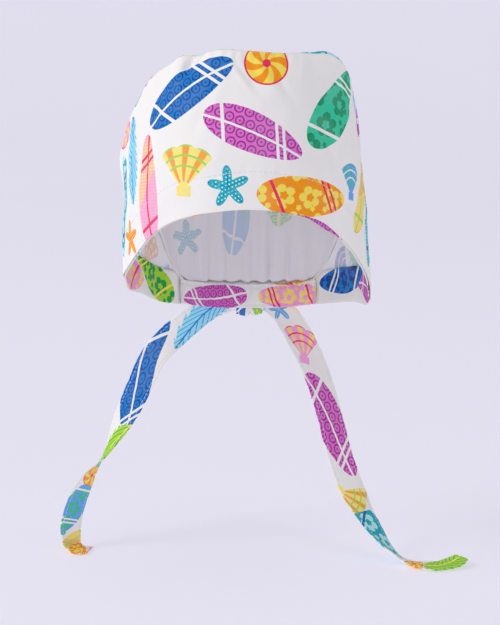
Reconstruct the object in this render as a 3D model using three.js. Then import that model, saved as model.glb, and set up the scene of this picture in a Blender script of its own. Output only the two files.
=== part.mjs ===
import * as THREE from 'three';

// A tie-back scrub cap of printed cotton, in the shape it keeps on a head, in millimetres.
// +Z is up, the front faces -Y and +X is to the right of someone who looks at the front.
// The origin is the middle of the head opening, level with the middle of the front hem.

// Driving sizes
const HALF_WIDTH = 80;
const FRONT_DEPTH = 98;
const BACK_DEPTH = 97;
const PLAN_ROUNDNESS = 2.2;
const CLOTH = 1.2;
const GAP = 0.35;
const APEX = new THREE.Vector3(0, 6, 92);
const PANEL_END = 149;
const FACING_HEIGHT = 23;
const FACING_CLOTH = 1.0;
const BINDING_HEIGHT = 18.2;
const BINDING_THICKNESS = 3;
const BINDING_WAVE = 0.6;
const BINDING_SINK = 1.6;
const SQUARENESS = 0.6;
const BINDING_END = 149.4;
const TIE_THICKNESS = 1.6;
const KNOT = { wide: 24, deep: 12, tall: 17, y: 103.5, z: -87 };

// One row per section round the head. angle: degrees from the front, plus towards +X.
// hemZ, seamZ: heights of the hem and of the top seam. hemIn, seamIn: how far each lies
// inside the plan outline. belly: how far the band bows out halfway up. rise and lean:
// how far the top panel carries on up and out past the seam before it turns over.
// reach: how near to the rim, as a share of the way out, it is already level.
const SECTIONS = [
  { angle: -165, hemZ: -88, hemIn: 0, seamZ: -69.4, seamIn: 0.5, belly: 0, rise: 90, lean: 16, reach: 0.70 },
  { angle: -150, hemZ: -84, hemIn: 1, seamZ: -65, seamIn: 1, belly: 1, rise: 82, lean: 15, reach: 0.68 },
  { angle: -135, hemZ: -79, hemIn: 0, seamZ: -30, seamIn: 0, belly: 2, rise: 62, lean: 9, reach: 0.65 },
  { angle: -120, hemZ: -70, hemIn: -1, seamZ: 4, seamIn: -1, belly: 1, rise: 42, lean: 4, reach: 0.62 },
  { angle: -105, hemZ: -60, hemIn: -3, seamZ: 27, seamIn: -3.5, belly: 0, rise: 29, lean: 1, reach: 0.6 },
  { angle: -90, hemZ: -53, hemIn: -3.5, seamZ: 42, seamIn: -0.5, belly: 1, rise: 21, lean: -1, reach: 0.58 },
  { angle: -72, hemZ: -46, hemIn: -2, seamZ: 58.5, seamIn: 5.6, belly: 2, rise: 14, lean: -3, reach: 0.58 },
  { angle: -56, hemZ: -34, hemIn: -0.5, seamZ: 75, seamIn: 10.8, belly: 4, rise: 8, lean: -4, reach: 0.60 },
  { angle: -40, hemZ: -17.5, hemIn: 0, seamZ: 86, seamIn: 15, belly: 5, rise: 2, lean: -5, reach: 0.66 },
  { angle: -28, hemZ: -8, hemIn: 0, seamZ: 91.5, seamIn: 17, belly: 5, rise: -1, lean: -6, reach: 0.74 },
  { angle: -14, hemZ: -2.2, hemIn: 0, seamZ: 95, seamIn: 18.5, belly: 4, rise: -2, lean: -8, reach: 0.76 },
  { angle: 0, hemZ: 0, hemIn: 0, seamZ: 94.6, seamIn: 19, belly: 4, rise: -2, lean: -8, reach: 0.76 },
  { angle: 14, hemZ: -2.2, hemIn: 0, seamZ: 93.8, seamIn: 18, belly: 4, rise: -1, lean: -8, reach: 0.76 },
  { angle: 28, hemZ: -8.4, hemIn: 0, seamZ: 93.2, seamIn: 16, belly: 4, rise: 0, lean: -7, reach: 0.76 },
  { angle: 42, hemZ: -23, hemIn: 0, seamZ: 90.5, seamIn: 12.5, belly: 3, rise: 3, lean: -7, reach: 0.76 },
  { angle: 56, hemZ: -37.5, hemIn: 0, seamZ: 83, seamIn: 11.5, belly: 2, rise: 8, lean: -6, reach: 0.74 },
  { angle: 72, hemZ: -52, hemIn: -1, seamZ: 64, seamIn: 10.5, belly: 1, rise: 20, lean: -5, reach: 0.74 },
  { angle: 90, hemZ: -68, hemIn: -2, seamZ: 40, seamIn: 6.5, belly: 1, rise: 38, lean: -4, reach: 0.74 },
  { angle: 105, hemZ: -74, hemIn: -2, seamZ: 18, seamIn: 3.5, belly: 1, rise: 52, lean: -1, reach: 0.72 },
  { angle: 120, hemZ: -76, hemIn: -1, seamZ: -6, seamIn: 1, belly: 1, rise: 60, lean: 4, reach: 0.70 },
  { angle: 135, hemZ: -80, hemIn: 0, seamZ: -35, seamIn: 0, belly: 2, rise: 70, lean: 9, reach: 0.70 },
  { angle: 150, hemZ: -84, hemIn: 1, seamZ: -65, seamIn: 1, belly: 1, rise: 82, lean: 15, reach: 0.70 },
  { angle: 165, hemZ: -88, hemIn: 0, seamZ: -69.4, seamIn: 0.5, belly: 0, rise: 90, lean: 16, reach: 0.70 },
  { angle: 180, hemZ: -89, hemIn: 0, seamZ: -70.4, seamIn: 0.5, belly: 0, rise: 92, lean: 17, reach: 0.70 },
];

// One row per fold, dent or lump. level: 0 at the hem, 1 at the seam, 2 at the apex.
// spread and run: half its size round the head in degrees and up the cloth in levels.
// slant: degrees it leans round per level. height: out from the cloth, minus for a dent.
const FOLDS = [
  { what: 'lump at the seam', angle: -31, level: 1.0, spread: 4.5, run: 0.10, slant: 0, height: 2.4 },
  { what: 'tuck under the lump', angle: -27, level: 0.92, spread: 2.8, run: 0.06, slant: 20, height: -2.6 },
  { what: 'dip by the lump', angle: -22, level: 1.0, spread: 3.6, run: 0.09, slant: 0, height: -2.4 },
  { what: 'rise of the seam', angle: -9, level: 1.0, spread: 9, run: 0.10, slant: 0, height: 1.2 },
  { what: 'pressed crease, right', angle: 37, level: 0.72, spread: 2.6, run: 0.30, slant: -4, height: 1.4 },
  { what: 'hollow by the crease', angle: 31, level: 0.75, spread: 4, run: 0.25, slant: -4, height: -0.8 },
  { what: 'pucker below seam', angle: 2, level: 0.88, spread: 3, run: 0.12, slant: -30, height: -0.9 },
  { what: 'pucker below seam', angle: 9, level: 0.84, spread: 3, run: 0.12, slant: -30, height: 0.8 },
  { what: 'puff of the top, right', angle: 38, level: 1.08, spread: 11, run: 0.11, slant: 0, height: 3.2 },
  { what: 'lift of right shoulder', angle: 75, level: 1.25, spread: 22, run: 0.22, slant: 0, height: 1.6 },
  { what: 'roll over left ear', angle: -92, level: 0.84, spread: 16, run: 0.12, slant: 20, height: 3.0 },
  { what: 'hollow below the roll', angle: -88, level: 0.45, spread: 14, run: 0.14, slant: 10, height: -1.2 },
  { what: 'drag behind left ear', angle: -116, level: 0.5, spread: 5, run: 0.50, slant: -14, height: 2.6 },
  { what: 'hollow, left ear', angle: -127, level: 0.6, spread: 5, run: 0.50, slant: -14, height: -2.4 },
  { what: 'second drag, left', angle: -138, level: 0.6, spread: 4, run: 0.45, slant: -10, height: 2.2 },
  { what: 'drag behind right ear', angle: 116, level: 0.5, spread: 5, run: 0.50, slant: 14, height: 2.4 },
  { what: 'hollow, right ear', angle: 127, level: 0.6, spread: 5, run: 0.50, slant: 14, height: -2.4 },
  { what: 'second drag, right', angle: 138, level: 0.6, spread: 4, run: 0.45, slant: 10, height: 2.2 },
  { what: 'dent in the top', angle: -50, level: 1.55, spread: 24, run: 0.16, slant: 0, height: -2.2 },
  { what: 'ridge at the back', angle: 156, level: 1.42, spread: 7, run: 0.34, slant: 16, height: 3.0 },
  { what: 'hollow by the ridge', angle: 171, level: 1.40, spread: 6, run: 0.30, slant: 6, height: -2.4 },
  { what: 'ridge at the back', angle: -152, level: 1.40, spread: 7, run: 0.34, slant: -16, height: 3.0 },
  { what: 'hollow by the ridge', angle: -166, level: 1.44, spread: 6, run: 0.30, slant: -6, height: -2.6 },
  { what: 'slack over the nape', angle: 180, level: 1.30, spread: 24, run: 0.07, slant: 0, height: 2.6 },
];

// One row per gather at the nape. run: how many levels up the back it fades out.
const GATHERS = [
  { angle: 152, spread: 2.3, height: 2.0, run: 0.20 },
  { angle: 158.5, spread: 2.0, height: 2.6, run: 0.34 },
  { angle: 165, spread: 2.2, height: 2.4, run: 0.26 },
  { angle: 171, spread: 1.9, height: 2.8, run: 0.42 },
  { angle: 177.5, spread: 2.1, height: 2.4, run: 0.30 },
  { angle: -176, spread: 2.0, height: 2.8, run: 0.38 },
  { angle: -169.5, spread: 2.2, height: 2.4, run: 0.24 },
  { angle: -163.5, spread: 1.9, height: 2.8, run: 0.36 },
  { angle: -157, spread: 2.2, height: 2.4, run: 0.28 },
  { angle: -151, spread: 2.1, height: 2.0, run: 0.18 },
];

// Where the turned-in facing peeks out below the hem, in millimetres.
const PEEKS = [
  { angle: 30, spread: 7, drop: 2.6 },
  { angle: -101, spread: 14, drop: 6 },
  { angle: 96, spread: 14, drop: 1.5 },
];

// The ties, one row per point of the middle line, from the knot to the free end.
// wx, wy, wz: the way the width runs there. wide: the width.
const TIE_LEFT = [
  { x: -11.95, y: 103.5, z: -87, wx: 0, wy: 0.1, wz: -1, wide: 11 },
  { x: -16, y: 103.8, z: -87.2, wx: 0, wy: 0.1, wz: -1, wide: 13 },
  { x: -32, y: 103, z: -92, wx: 0.1, wy: -0.1, wz: -1, wide: 18 },
  { x: -52, y: 98, z: -107, wx: 0.4, wy: -0.2, wz: -0.9, wide: 20 },
  { x: -69, y: 91, z: -124, wx: 0.7, wy: -0.35, wz: -0.55, wide: 20 },
  { x: -79.5, y: 85.5, z: -146, wx: 0.86, wy: -0.45, wz: -0.35, wide: 20 },
  { x: -87.5, y: 82, z: -162.4, wx: 0.75, wy: -0.6, wz: -0.3, wide: 20 },
  { x: -94.6, y: 78, z: -176.4, wx: 0.55, wy: -0.8, wz: -0.2, wide: 19 },
  { x: -103.4, y: 73, z: -192.5, wx: 0.12, wy: -1, wz: 0, wide: 16 },
  { x: -108.2, y: 71, z: -198.5, wx: -0.2, wy: -1, wz: 0.1, wide: 16 },
  { x: -114.6, y: 68, z: -207, wx: -0.42, wy: -0.88, wz: 0.2, wide: 18 },
  { x: -119.6, y: 65, z: -216.4, wx: -0.52, wy: -0.82, wz: 0.2, wide: 20 },
  { x: -123.7, y: 61.5, z: -226.4, wx: -0.6, wy: -0.78, wz: 0.1, wide: 20 },
  { x: -126.2, y: 57.5, z: -236, wx: -0.62, wy: -0.78, wz: 0, wide: 20 },
  { x: -127.2, y: 53.5, z: -244.5, wx: -0.58, wy: -0.8, wz: 0, wide: 20 },
  { x: -126, y: 49.5, z: -251.5, wx: -0.45, wy: -0.88, wz: 0, wide: 20 },
  { x: -122.4, y: 46.5, z: -254.9, wx: -0.3, wy: -0.95, wz: 0, wide: 20 },
  { x: -117.4, y: 44.5, z: -255.4, wx: -0.2, wy: -1, wz: 0, wide: 20 },
  { x: -112.6, y: 43.5, z: -255.4, wx: -0.1, wy: -1, wz: 0, wide: 17 },
];
const TIE_RIGHT = [
  { x: 11.95, y: 103.5, z: -87, wx: 0, wy: 0.1, wz: 1, wide: 11 },
  { x: 16, y: 103.8, z: -87.4, wx: 0.05, wy: 0.1, wz: 1, wide: 13 },
  { x: 27.5, y: 102, z: -95, wx: 0.35, wy: 0.2, wz: 0.9, wide: 18 },
  { x: 39, y: 95, z: -113, wx: 0.7, wy: 0.3, wz: 0.6, wide: 20 },
  { x: 48.5, y: 86, z: -132, wx: 0.82, wy: 0.42, wz: 0.4, wide: 20 },
  { x: 54.8, y: 77.5, z: -150, wx: 0.85, wy: 0.48, wz: 0.3, wide: 20 },
  { x: 59.6, y: 70, z: -167, wx: 0.86, wy: 0.5, wz: 0.2, wide: 20 },
  { x: 64.1, y: 62.5, z: -185, wx: 0.86, wy: 0.5, wz: 0.25, wide: 20 },
  { x: 69.6, y: 55, z: -201.8, wx: 0.82, wy: 0.52, wz: 0.3, wide: 20 },
  { x: 75.7, y: 47.5, z: -215.4, wx: 0.7, wy: 0.65, wz: 0.3, wide: 20 },
  { x: 82, y: 40, z: -226.6, wx: 0.55, wy: 0.8, wz: 0.22, wide: 19 },
  { x: 89, y: 32.5, z: -236.6, wx: 0.42, wy: 0.88, wz: 0.12, wide: 18 },
  { x: 97.1, y: 24.5, z: -246.4, wx: 0.3, wy: 0.93, wz: -0.08, wide: 16 },
  { x: 104.5, y: 17.5, z: -252, wx: 0.15, wy: 0.98, wz: -0.2, wide: 15 },
  { x: 111.8, y: 12, z: -254.2, wx: 0.1, wy: 0.99, wz: -0.12, wide: 17 },
  { x: 119.5, y: 8, z: -255.2, wx: 0.05, wy: 1, wz: -0.02, wide: 20 },
  { x: 127.5, y: 6.5, z: -255.4, wx: 0, wy: 1, wz: 0, wide: 20 },
  { x: 135.5, y: 8, z: -255.1, wx: -0.1, wy: 1, wz: 0, wide: 20 },
  { x: 142.5, y: 11.5, z: -253.9, wx: -0.25, wy: 1, wz: 0.04, wide: 20 },
  { x: 148.6, y: 15.6, z: -251.6, wx: -0.3, wy: 1, wz: 0.08, wide: 13 },
];

// Mesh steps round the head in degrees: fine where the cloth is folded, coarse elsewhere.
const ROUND_STEPS = [
  { from: -149, to: -105, step: 4 },
  { from: -105, to: -45, step: 5 },
  { from: -45, to: 45, step: 2.5 },
  { from: 45, to: 105, step: 5 },
  { from: 105, to: 149, step: 4 },
  { from: 149, to: 211, step: 1.9 },
];

// Mesh steps up the panels and along the casing and the ties.
const STEPS = { bandUp: 9, topUp: 11, facingUp: 2, bindingRound: 36, tieAlong: 48 };

const radians = THREE.MathUtils.degToRad;
const UP = new THREE.Vector3(0, 0, 1);

// The difference of two angles in degrees, the short way round.
function turnBetween(angle, centre) {
  return ((angle - centre + 540) % 360) - 180;
}

function bump(offset, halfSize) {
  return Math.exp(-((offset / halfSize) ** 2));
}

// Pushes a sine or cosine towards a square wave, for a flat section with soft corners.
function squared(value) {
  return Math.sign(value) * Math.abs(value) ** SQUARENESS;
}

// A column of the section table at any angle, by a smooth curve round the closed table.
function column(name, angle) {
  const rows = SECTIONS;
  const wrapped = ((angle + 165) % 360 + 360) % 360 - 165;
  let last = rows.length - 1;
  for (let i = 0; i < rows.length - 1; i += 1) {
    if (wrapped < rows[i + 1].angle) {
      last = i;
      break;
    }
  }
  const at = (i) => {
    const turns = Math.floor(i / rows.length);
    const row = rows[i - turns * rows.length];
    return { angle: row.angle + 360 * turns, value: row[name] };
  };
  const [a, b, c, d] = [at(last - 1), at(last), at(last + 1), at(last + 2)];
  const span = c.angle - b.angle;
  const t = (wrapped - b.angle) / span;
  const slopeB = ((c.value - a.value) / (c.angle - a.angle)) * span;
  const slopeC = ((d.value - b.value) / (d.angle - b.angle)) * span;
  const t2 = t * t;
  const t3 = t2 * t;
  return (2 * t3 - 3 * t2 + 1) * b.value + (t3 - 2 * t2 + t) * slopeB
    + (3 * t2 - 2 * t3) * c.value + (t3 - t2) * slopeC;
}

// The plan outline of the head opening, pulled in by inset.
function planPoint(angle, inset, z) {
  const side = Math.sin(radians(angle));
  const ahead = Math.cos(radians(angle));
  const depth = ahead > 0 ? FRONT_DEPTH : BACK_DEPTH;
  const across = (Math.abs(side) / HALF_WIDTH) ** PLAN_ROUNDNESS;
  const along = (Math.abs(ahead) / depth) ** PLAN_ROUNDNESS;
  const radius = (across + along) ** (-1 / PLAN_ROUNDNESS) - inset;
  return new THREE.Vector3(radius * side, -radius * ahead, z);
}

function seamPoint(angle) {
  return planPoint(angle, column('seamIn', angle), column('seamZ', angle));
}

// Height of all folds and gathers at a place on the cloth.
function foldHeight(angle, level) {
  let height = 0;
  for (const fold of FOLDS) {
    const up = level - fold.level;
    const round = turnBetween(angle, fold.angle + fold.slant * up);
    height += fold.height * bump(round, fold.spread) * bump(up, fold.run);
  }
  for (const gather of GATHERS) {
    const up = Math.max(0, level - 1);
    const round = turnBetween(angle, gather.angle);
    height += gather.height * bump(round, gather.spread) * bump(up, gather.run);
  }
  return height;
}

// The outer face of the cap at an angle and a level, with its folds.
function capPoint(angle, level) {
  const seam = seamPoint(angle);
  const outward = new THREE.Vector3(Math.sin(radians(angle)), -Math.cos(radians(angle)), 0);
  const point = new THREE.Vector3();
  if (level <= 1) {
    const hem = planPoint(angle, column('hemIn', angle), column('hemZ', angle));
    point.lerpVectors(hem, seam, level);
    point.addScaledVector(outward, column('belly', angle) * 4 * level * (1 - level));
  } else {
    const rise = column('rise', angle);
    const past = seam.clone().addScaledVector(UP, rise).addScaledVector(outward, column('lean', angle));
    const overRim = new THREE.Vector3(seam.x, seam.y, APEX.z);
    const flat = APEX.clone().lerp(overRim, column('reach', angle));
    point.copy(new THREE.CubicBezierCurve3(seam, past, flat, APEX).getPoint(level - 1));
  }
  const tilt = (Math.PI / 2) * THREE.MathUtils.smoothstep(level, 0.7, 1.5);
  const out = outward.multiplyScalar(Math.cos(tilt)).addScaledVector(UP, Math.sin(tilt));
  return point.addScaledVector(out, foldHeight(angle, level));
}

// An open sheet of points, rows by columns, as an indexed geometry.
function sheetOf(rows, closed) {
  const width = rows[0].length;
  const sheet = new THREE.BufferGeometry().setFromPoints(rows.flat());
  const index = [];
  for (let r = 0; r < rows.length - 1; r += 1) {
    for (let c = 0; c < (closed ? width : width - 1); c += 1) {
      const next = (c + 1) % width;
      const [a, b] = [r * width + c, r * width + next];
      const [d, e] = [a + width, b + width];
      index.push(a, b, e, a, e, d);
    }
  }
  sheet.setIndex(index);
  return sheet;
}

// Closes the last ring of a sheet to one point.
function capRing(sheet, ringStart, count, tip) {
  const points = [...sheet.attributes.position.array, tip.x, tip.y, tip.z];
  const tipIndex = points.length / 3 - 1;
  const index = [...sheet.index.array];
  for (let c = 0; c < count; c += 1) index.push(ringStart + c, ringStart + ((c + 1) % count), tipIndex);
  const capped = new THREE.BufferGeometry();
  capped.setAttribute('position', new THREE.Float32BufferAttribute(points, 3));
  capped.setIndex(index);
  return capped;
}

// Gives a sheet its wall: the sheet itself moved in by depth, a copy one wall further in,
// and a strip along every free edge.
function thicken(sheet, wall, depth = 0) {
  sheet.computeVertexNormals();
  const outer = sheet.attributes.position;
  const normal = sheet.attributes.normal;
  const count = outer.count;
  const points = [];
  for (const inset of [depth, depth + wall]) {
    for (let i = 0; i < count; i += 1) {
      points.push(outer.getX(i) - normal.getX(i) * inset);
      points.push(outer.getY(i) - normal.getY(i) * inset);
      points.push(outer.getZ(i) - normal.getZ(i) * inset);
    }
  }
  const faces = [...sheet.index.array];
  const edges = new Set();
  for (let f = 0; f < faces.length; f += 3) {
    for (let k = 0; k < 3; k += 1) edges.add(`${faces[f + k]} ${faces[f + ((k + 1) % 3)]}`);
  }
  const index = [...faces];
  for (let f = 0; f < faces.length; f += 3) {
    index.push(faces[f] + count, faces[f + 2] + count, faces[f + 1] + count);
  }
  for (const edge of edges) {
    const [a, b] = edge.split(' ').map(Number);
    if (!edges.has(`${b} ${a}`)) index.push(b, a, a + count, b, a + count, b + count);
  }
  const shell = new THREE.BufferGeometry();
  shell.setAttribute('position', new THREE.Float32BufferAttribute(points, 3));
  shell.setIndex(index);
  return facingOut(shell);
}

function range(from, to, steps) {
  return Array.from({ length: steps + 1 }, (_, i) => from + ((to - from) * i) / steps);
}

// The angles of the mesh's sections, from the left end of the band up to the end given.
function sectionAngles(end) {
  const stretches = ROUND_STEPS.filter((row) => row.to <= end);
  return stretches.flatMap((row) => {
    const count = Math.round((row.to - row.from) / row.step);
    return range(row.from, row.to, count).slice(0, -1);
  });
}

function bandGeometry() {
  const angles = [...sectionAngles(PANEL_END), PANEL_END];
  const rows = range(0, 1, STEPS.bandUp).map((level) => angles.map((angle) => capPoint(angle, level)));
  return thicken(sheetOf(rows, false), CLOTH);
}

// The top, lifted near the seam so that its wall clears the band's upper edge.
function topPoint(angle, level) {
  const along = capPoint(angle, 1.03).sub(capPoint(angle, 1)).normalize();
  const below = capPoint(angle, 1).sub(capPoint(angle, 0.94)).normalize();
  const lift = GAP + CLOTH * along.clone().cross(below).length();
  return capPoint(angle, level).addScaledVector(below, lift * bump(level - 1, 0.25));
}

function topGeometry() {
  const angles = sectionAngles(360 - PANEL_END);
  const count = angles.length;
  const levels = range(0, 1, STEPS.topUp).slice(0, -1).map((share) => 1 + share ** 1.15);
  const rows = levels.map((level) => angles.map((angle) => topPoint(angle, level)));
  const sheet = sheetOf(rows, true);
  return thicken(capRing(sheet, (rows.length - 1) * count, count, capPoint(0, 2)), CLOTH);
}

function facingGeometry() {
  const angles = [...sectionAngles(PANEL_END), PANEL_END].slice(1, -1);
  const rows = range(0, 1, STEPS.facingUp).map((share) => angles.map((angle) => {
    const height = capPoint(angle, 1).distanceTo(capPoint(angle, 0));
    let drop = 0.3;
    for (const peek of PEEKS) drop += peek.drop * bump(turnBetween(angle, peek.angle), peek.spread);
    const millimetres = -drop + (FACING_HEIGHT + drop) * share;
    return capPoint(angle, millimetres / height);
  }));
  return thicken(sheetOf(rows, false), FACING_CLOTH, CLOTH + GAP);
}

// The casing is a closed strip: a flat oval section carried round the nape.
function bindingGeometry() {
  const section = 10;
  const rings = range(BINDING_END, 360 - BINDING_END, STEPS.bindingRound).map((angle) => {
    const middle = planPoint(angle, 0.5, column('hemZ', angle) + BINDING_HEIGHT / 2);
    const outward = new THREE.Vector3(Math.sin(radians(angle)), -Math.cos(radians(angle)), 0);
    const wave = foldHeight(angle, 1) * BINDING_WAVE - BINDING_SINK;
    return Array.from({ length: section }, (_, i) => {
      const turn = (2 * Math.PI * i) / section;
      const up = squared(Math.sin(turn)) * (BINDING_HEIGHT / 2 - 0.2);
      const out = squared(Math.cos(turn)) * (BINDING_THICKNESS / 2);
      return middle.clone().addScaledVector(UP, up).addScaledVector(outward, out + wave);
    });
  });
  return closedTube(rings);
}

// Turns a closed body's faces outwards where its rings ran the other way.
function facingOut(body) {
  const place = body.attributes.position;
  const index = [...body.index.array];
  const corner = (i) => new THREE.Vector3().fromBufferAttribute(place, index[i]);
  let volume = 0;
  for (let f = 0; f < index.length; f += 3) volume += corner(f).dot(corner(f + 1).cross(corner(f + 2)));
  if (volume < 0) body.setIndex(index.reverse());
  return body;
}

// A closed body through a row of rings, with a flat face at each end.
function closedTube(rings) {
  const count = rings[0].length;
  const tube = sheetOf(rings, true);
  const middle = (ring) => ring.reduce((sum, p) => sum.add(p), new THREE.Vector3()).divideScalar(count);
  const points = [...tube.attributes.position.array];
  const [first, last] = [middle(rings[0]), middle(rings[rings.length - 1])];
  points.push(first.x, first.y, first.z, last.x, last.y, last.z);
  const index = [...tube.index.array];
  const start = (rings.length - 1) * count;
  const centre = rings.length * count;
  for (let c = 0; c < count; c += 1) {
    const next = (c + 1) % count;
    index.push(next, c, centre, start + c, start + next, centre + 1);
  }
  const body = new THREE.BufferGeometry();
  body.setAttribute('position', new THREE.Float32BufferAttribute(points, 3));
  body.setIndex(index);
  return facingOut(body);
}

// A flat strip of cloth along its middle line, turned as its table says.
function tieGeometry(table) {
  const path = new THREE.CatmullRomCurve3(table.map((row) => new THREE.Vector3(row.x, row.y, row.z)));
  const ways = new THREE.CatmullRomCurve3(table.map((row) => new THREE.Vector3(row.wx, row.wy, row.wz)));
  const rings = range(0, 1, STEPS.tieAlong).map((share) => {
    const along = path.getTangent(share);
    const middle = path.getPoint(share);
    const way = ways.getPoint(share);
    const across = way.addScaledVector(along, -way.dot(along)).normalize();
    const through = along.clone().cross(across);
    const place = share * (table.length - 1);
    const row = Math.min(Math.floor(place), table.length - 2);
    const wide = THREE.MathUtils.lerp(table[row].wide, table[row + 1].wide, place - row);
    const corners = [[-0.5, -0.5], [0, -0.5], [0.5, -0.5], [0.5, 0.5], [0, 0.5], [-0.5, 0.5]];
    return corners.map(([u, v]) => middle.clone()
      .addScaledVector(across, u * wide).addScaledVector(through, v * TIE_THICKNESS));
  });
  return closedTube(rings);
}

// The knot: a rounded lump with a slanting groove where one tie crosses the other.
function knotGeometry() {
  const rings = [];
  const rounds = 11;
  const sides = 14;
  for (let r = 1; r < rounds; r += 1) {
    const slope = Math.PI * (r / rounds);
    const ring = [];
    for (let s = 0; s < sides; s += 1) {
      const turn = (2 * Math.PI * s) / sides;
      const squash = 1 - 0.14 * bump(Math.cos(slope) * 1.6 - Math.cos(turn) * 0.7, 0.28);
      const x = -(KNOT.wide / 2) * Math.sign(Math.cos(slope)) * Math.abs(Math.cos(slope)) ** 0.8;
      const girth = Math.sin(slope) ** 0.7 * squash;
      const y = KNOT.y + (KNOT.deep / 2) * girth * Math.cos(turn);
      const z = KNOT.z + (KNOT.tall / 2) * girth * Math.sin(turn);
      ring.push(new THREE.Vector3(x, y, z));
    }
    rings.push(ring);
  }
  return closedTube(rings);
}

const cotton = (colour) => new THREE.MeshStandardMaterial({ color: colour, roughness: 0.9, metalness: 0 });

const PIECES = [
  { name: 'crown_band', geometry: bandGeometry(), colour: '#f3f1f6' },
  { name: 'crown_top', geometry: topGeometry(), colour: '#eeecf4' },
  { name: 'hem_facing', geometry: facingGeometry(), colour: '#d9b8dc' },
  { name: 'back_binding', geometry: bindingGeometry(), colour: '#e9e4f0' },
  { name: 'tie_knot', geometry: knotGeometry(), colour: '#3f86c6' },
  { name: 'tie_left', geometry: tieGeometry(TIE_LEFT), colour: '#a9d66a' },
  { name: 'tie_right', geometry: tieGeometry(TIE_RIGHT), colour: '#2fb3b0' },
];

const cap = new THREE.Group();
for (const piece of PIECES) {
  const mesh = new THREE.Mesh(piece.geometry, cotton(piece.colour));
  mesh.name = piece.name;
  cap.add(mesh);
}

export default cap;
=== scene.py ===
# %% [markdown]
# A tie-back scrub cap, sewn from printed cotton and shown in the shape it keeps when worn.
# The real cap is a long front band, a puffed top that runs down the back, a casing round
# the nape and two flat ties. The solids from the workshop model give every piece its place.
# This script keeps that frame and makes the cloth itself: fine folds, turned hems, seams,
# stitches and the print. Loading the frame first means that nothing has to be fitted later.

# %% The frame and its size
import math
from functools import reduce

import bmesh
import bpy
import numpy as np
from mathutils import Matrix, Vector, noise


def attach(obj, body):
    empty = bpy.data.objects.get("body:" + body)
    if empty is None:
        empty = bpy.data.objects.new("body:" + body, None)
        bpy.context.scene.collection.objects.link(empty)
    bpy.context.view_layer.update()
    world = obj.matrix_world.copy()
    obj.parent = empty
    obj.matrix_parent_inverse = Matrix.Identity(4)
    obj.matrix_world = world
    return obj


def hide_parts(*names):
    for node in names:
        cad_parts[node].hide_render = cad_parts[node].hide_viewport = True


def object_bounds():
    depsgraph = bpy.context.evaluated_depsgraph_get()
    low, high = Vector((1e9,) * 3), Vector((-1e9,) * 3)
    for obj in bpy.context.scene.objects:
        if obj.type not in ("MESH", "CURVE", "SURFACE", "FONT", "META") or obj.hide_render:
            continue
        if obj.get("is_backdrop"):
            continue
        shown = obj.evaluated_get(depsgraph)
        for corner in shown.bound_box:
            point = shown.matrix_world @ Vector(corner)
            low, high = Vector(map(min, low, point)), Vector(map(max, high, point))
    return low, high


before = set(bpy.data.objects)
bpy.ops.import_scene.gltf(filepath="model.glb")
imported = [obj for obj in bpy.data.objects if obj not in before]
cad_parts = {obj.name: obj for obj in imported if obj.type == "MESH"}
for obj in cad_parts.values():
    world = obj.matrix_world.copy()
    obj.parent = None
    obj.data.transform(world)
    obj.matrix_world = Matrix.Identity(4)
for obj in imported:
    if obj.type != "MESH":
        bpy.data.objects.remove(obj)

MM = 0.001
cad_low, cad_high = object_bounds()
print("frame box in mm:", [round(c / MM, 1) for c in (*cad_low, *cad_high)])

# %% [markdown]
# A cap's outline changes all the way round: low at the nape, high in front, one side
# slacker than the other. A simulated drape needs something solid under the cloth, and this
# cap stands alone, so its outline comes from a short table instead. Each row is one upright
# section at one angle. Smooth curves join the rows, and every piece of cloth then reads its
# place from the same surface, so that seams meet without any fitting.

# %% The table of sections
HALF_WIDTH = 80
FRONT_DEPTH = 98
BACK_DEPTH = 97
PLAN_ROUNDNESS = 2.2
APEX = np.array([0.0, 6.0, 92.0])

# Angles run from the front, plus towards +X; heights and insets are in millimetres. Rise and
# lean are where the cloth heads to past the seam, reach is how far out the top stays flat.
SECTION_COLUMNS = "angle hem_z hem_in seam_z seam_in belly rise lean reach".split()
SECTIONS = np.array([
    (-165, -88, 0, -69.4, 0.5, 0, 90, 16, 0.70),
    (-150, -84, 1, -65, 1, 1, 82, 15, 0.68),
    (-135, -79, 0, -30, 0, 2, 62, 9, 0.65),
    (-120, -70, -1, 4, -1, 1, 42, 4, 0.62),
    (-105, -60, -3, 27, -3.5, 0, 29, 1, 0.60),
    (-90, -53, -3.5, 42, -0.5, 1, 21, -1, 0.58),
    (-72, -46, -2, 58.5, 5.6, 2, 14, -3, 0.58),
    (-56, -34, -0.5, 75, 10.8, 4, 8, -4, 0.60),
    (-40, -17.5, 0, 86, 15, 5, 2, -5, 0.66),
    (-28, -8, 0, 91.5, 17, 5, -1, -6, 0.74),
    (-14, -2.2, 0, 95, 18.5, 4, -2, -8, 0.76),
    (0, 0, 0, 94.6, 19, 4, -2, -8, 0.76),
    (14, -2.2, 0, 93.8, 18, 4, -1, -8, 0.76),
    (28, -8.4, 0, 93.2, 16, 4, 0, -7, 0.76),
    (42, -23, 0, 90.5, 12.5, 3, 3, -7, 0.76),
    (56, -37.5, 0, 83, 11.5, 2, 8, -6, 0.74),
    (72, -52, -1, 64, 10.5, 1, 20, -5, 0.74),
    (90, -68, -2, 40, 6.5, 1, 38, -4, 0.74),
    (105, -74, -2, 18, 3.5, 1, 52, -1, 0.72),
    (120, -76, -1, -6, 1, 1, 60, 4, 0.70),
    (135, -80, 0, -35, 0, 2, 70, 9, 0.70),
    (150, -84, 1, -65, 1, 1, 82, 15, 0.70),
    (165, -88, 0, -69.4, 0.5, 0, 90, 16, 0.70),
    (180, -89, 0, -70.4, 0.5, 0, 92, 17, 0.70),
])


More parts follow.
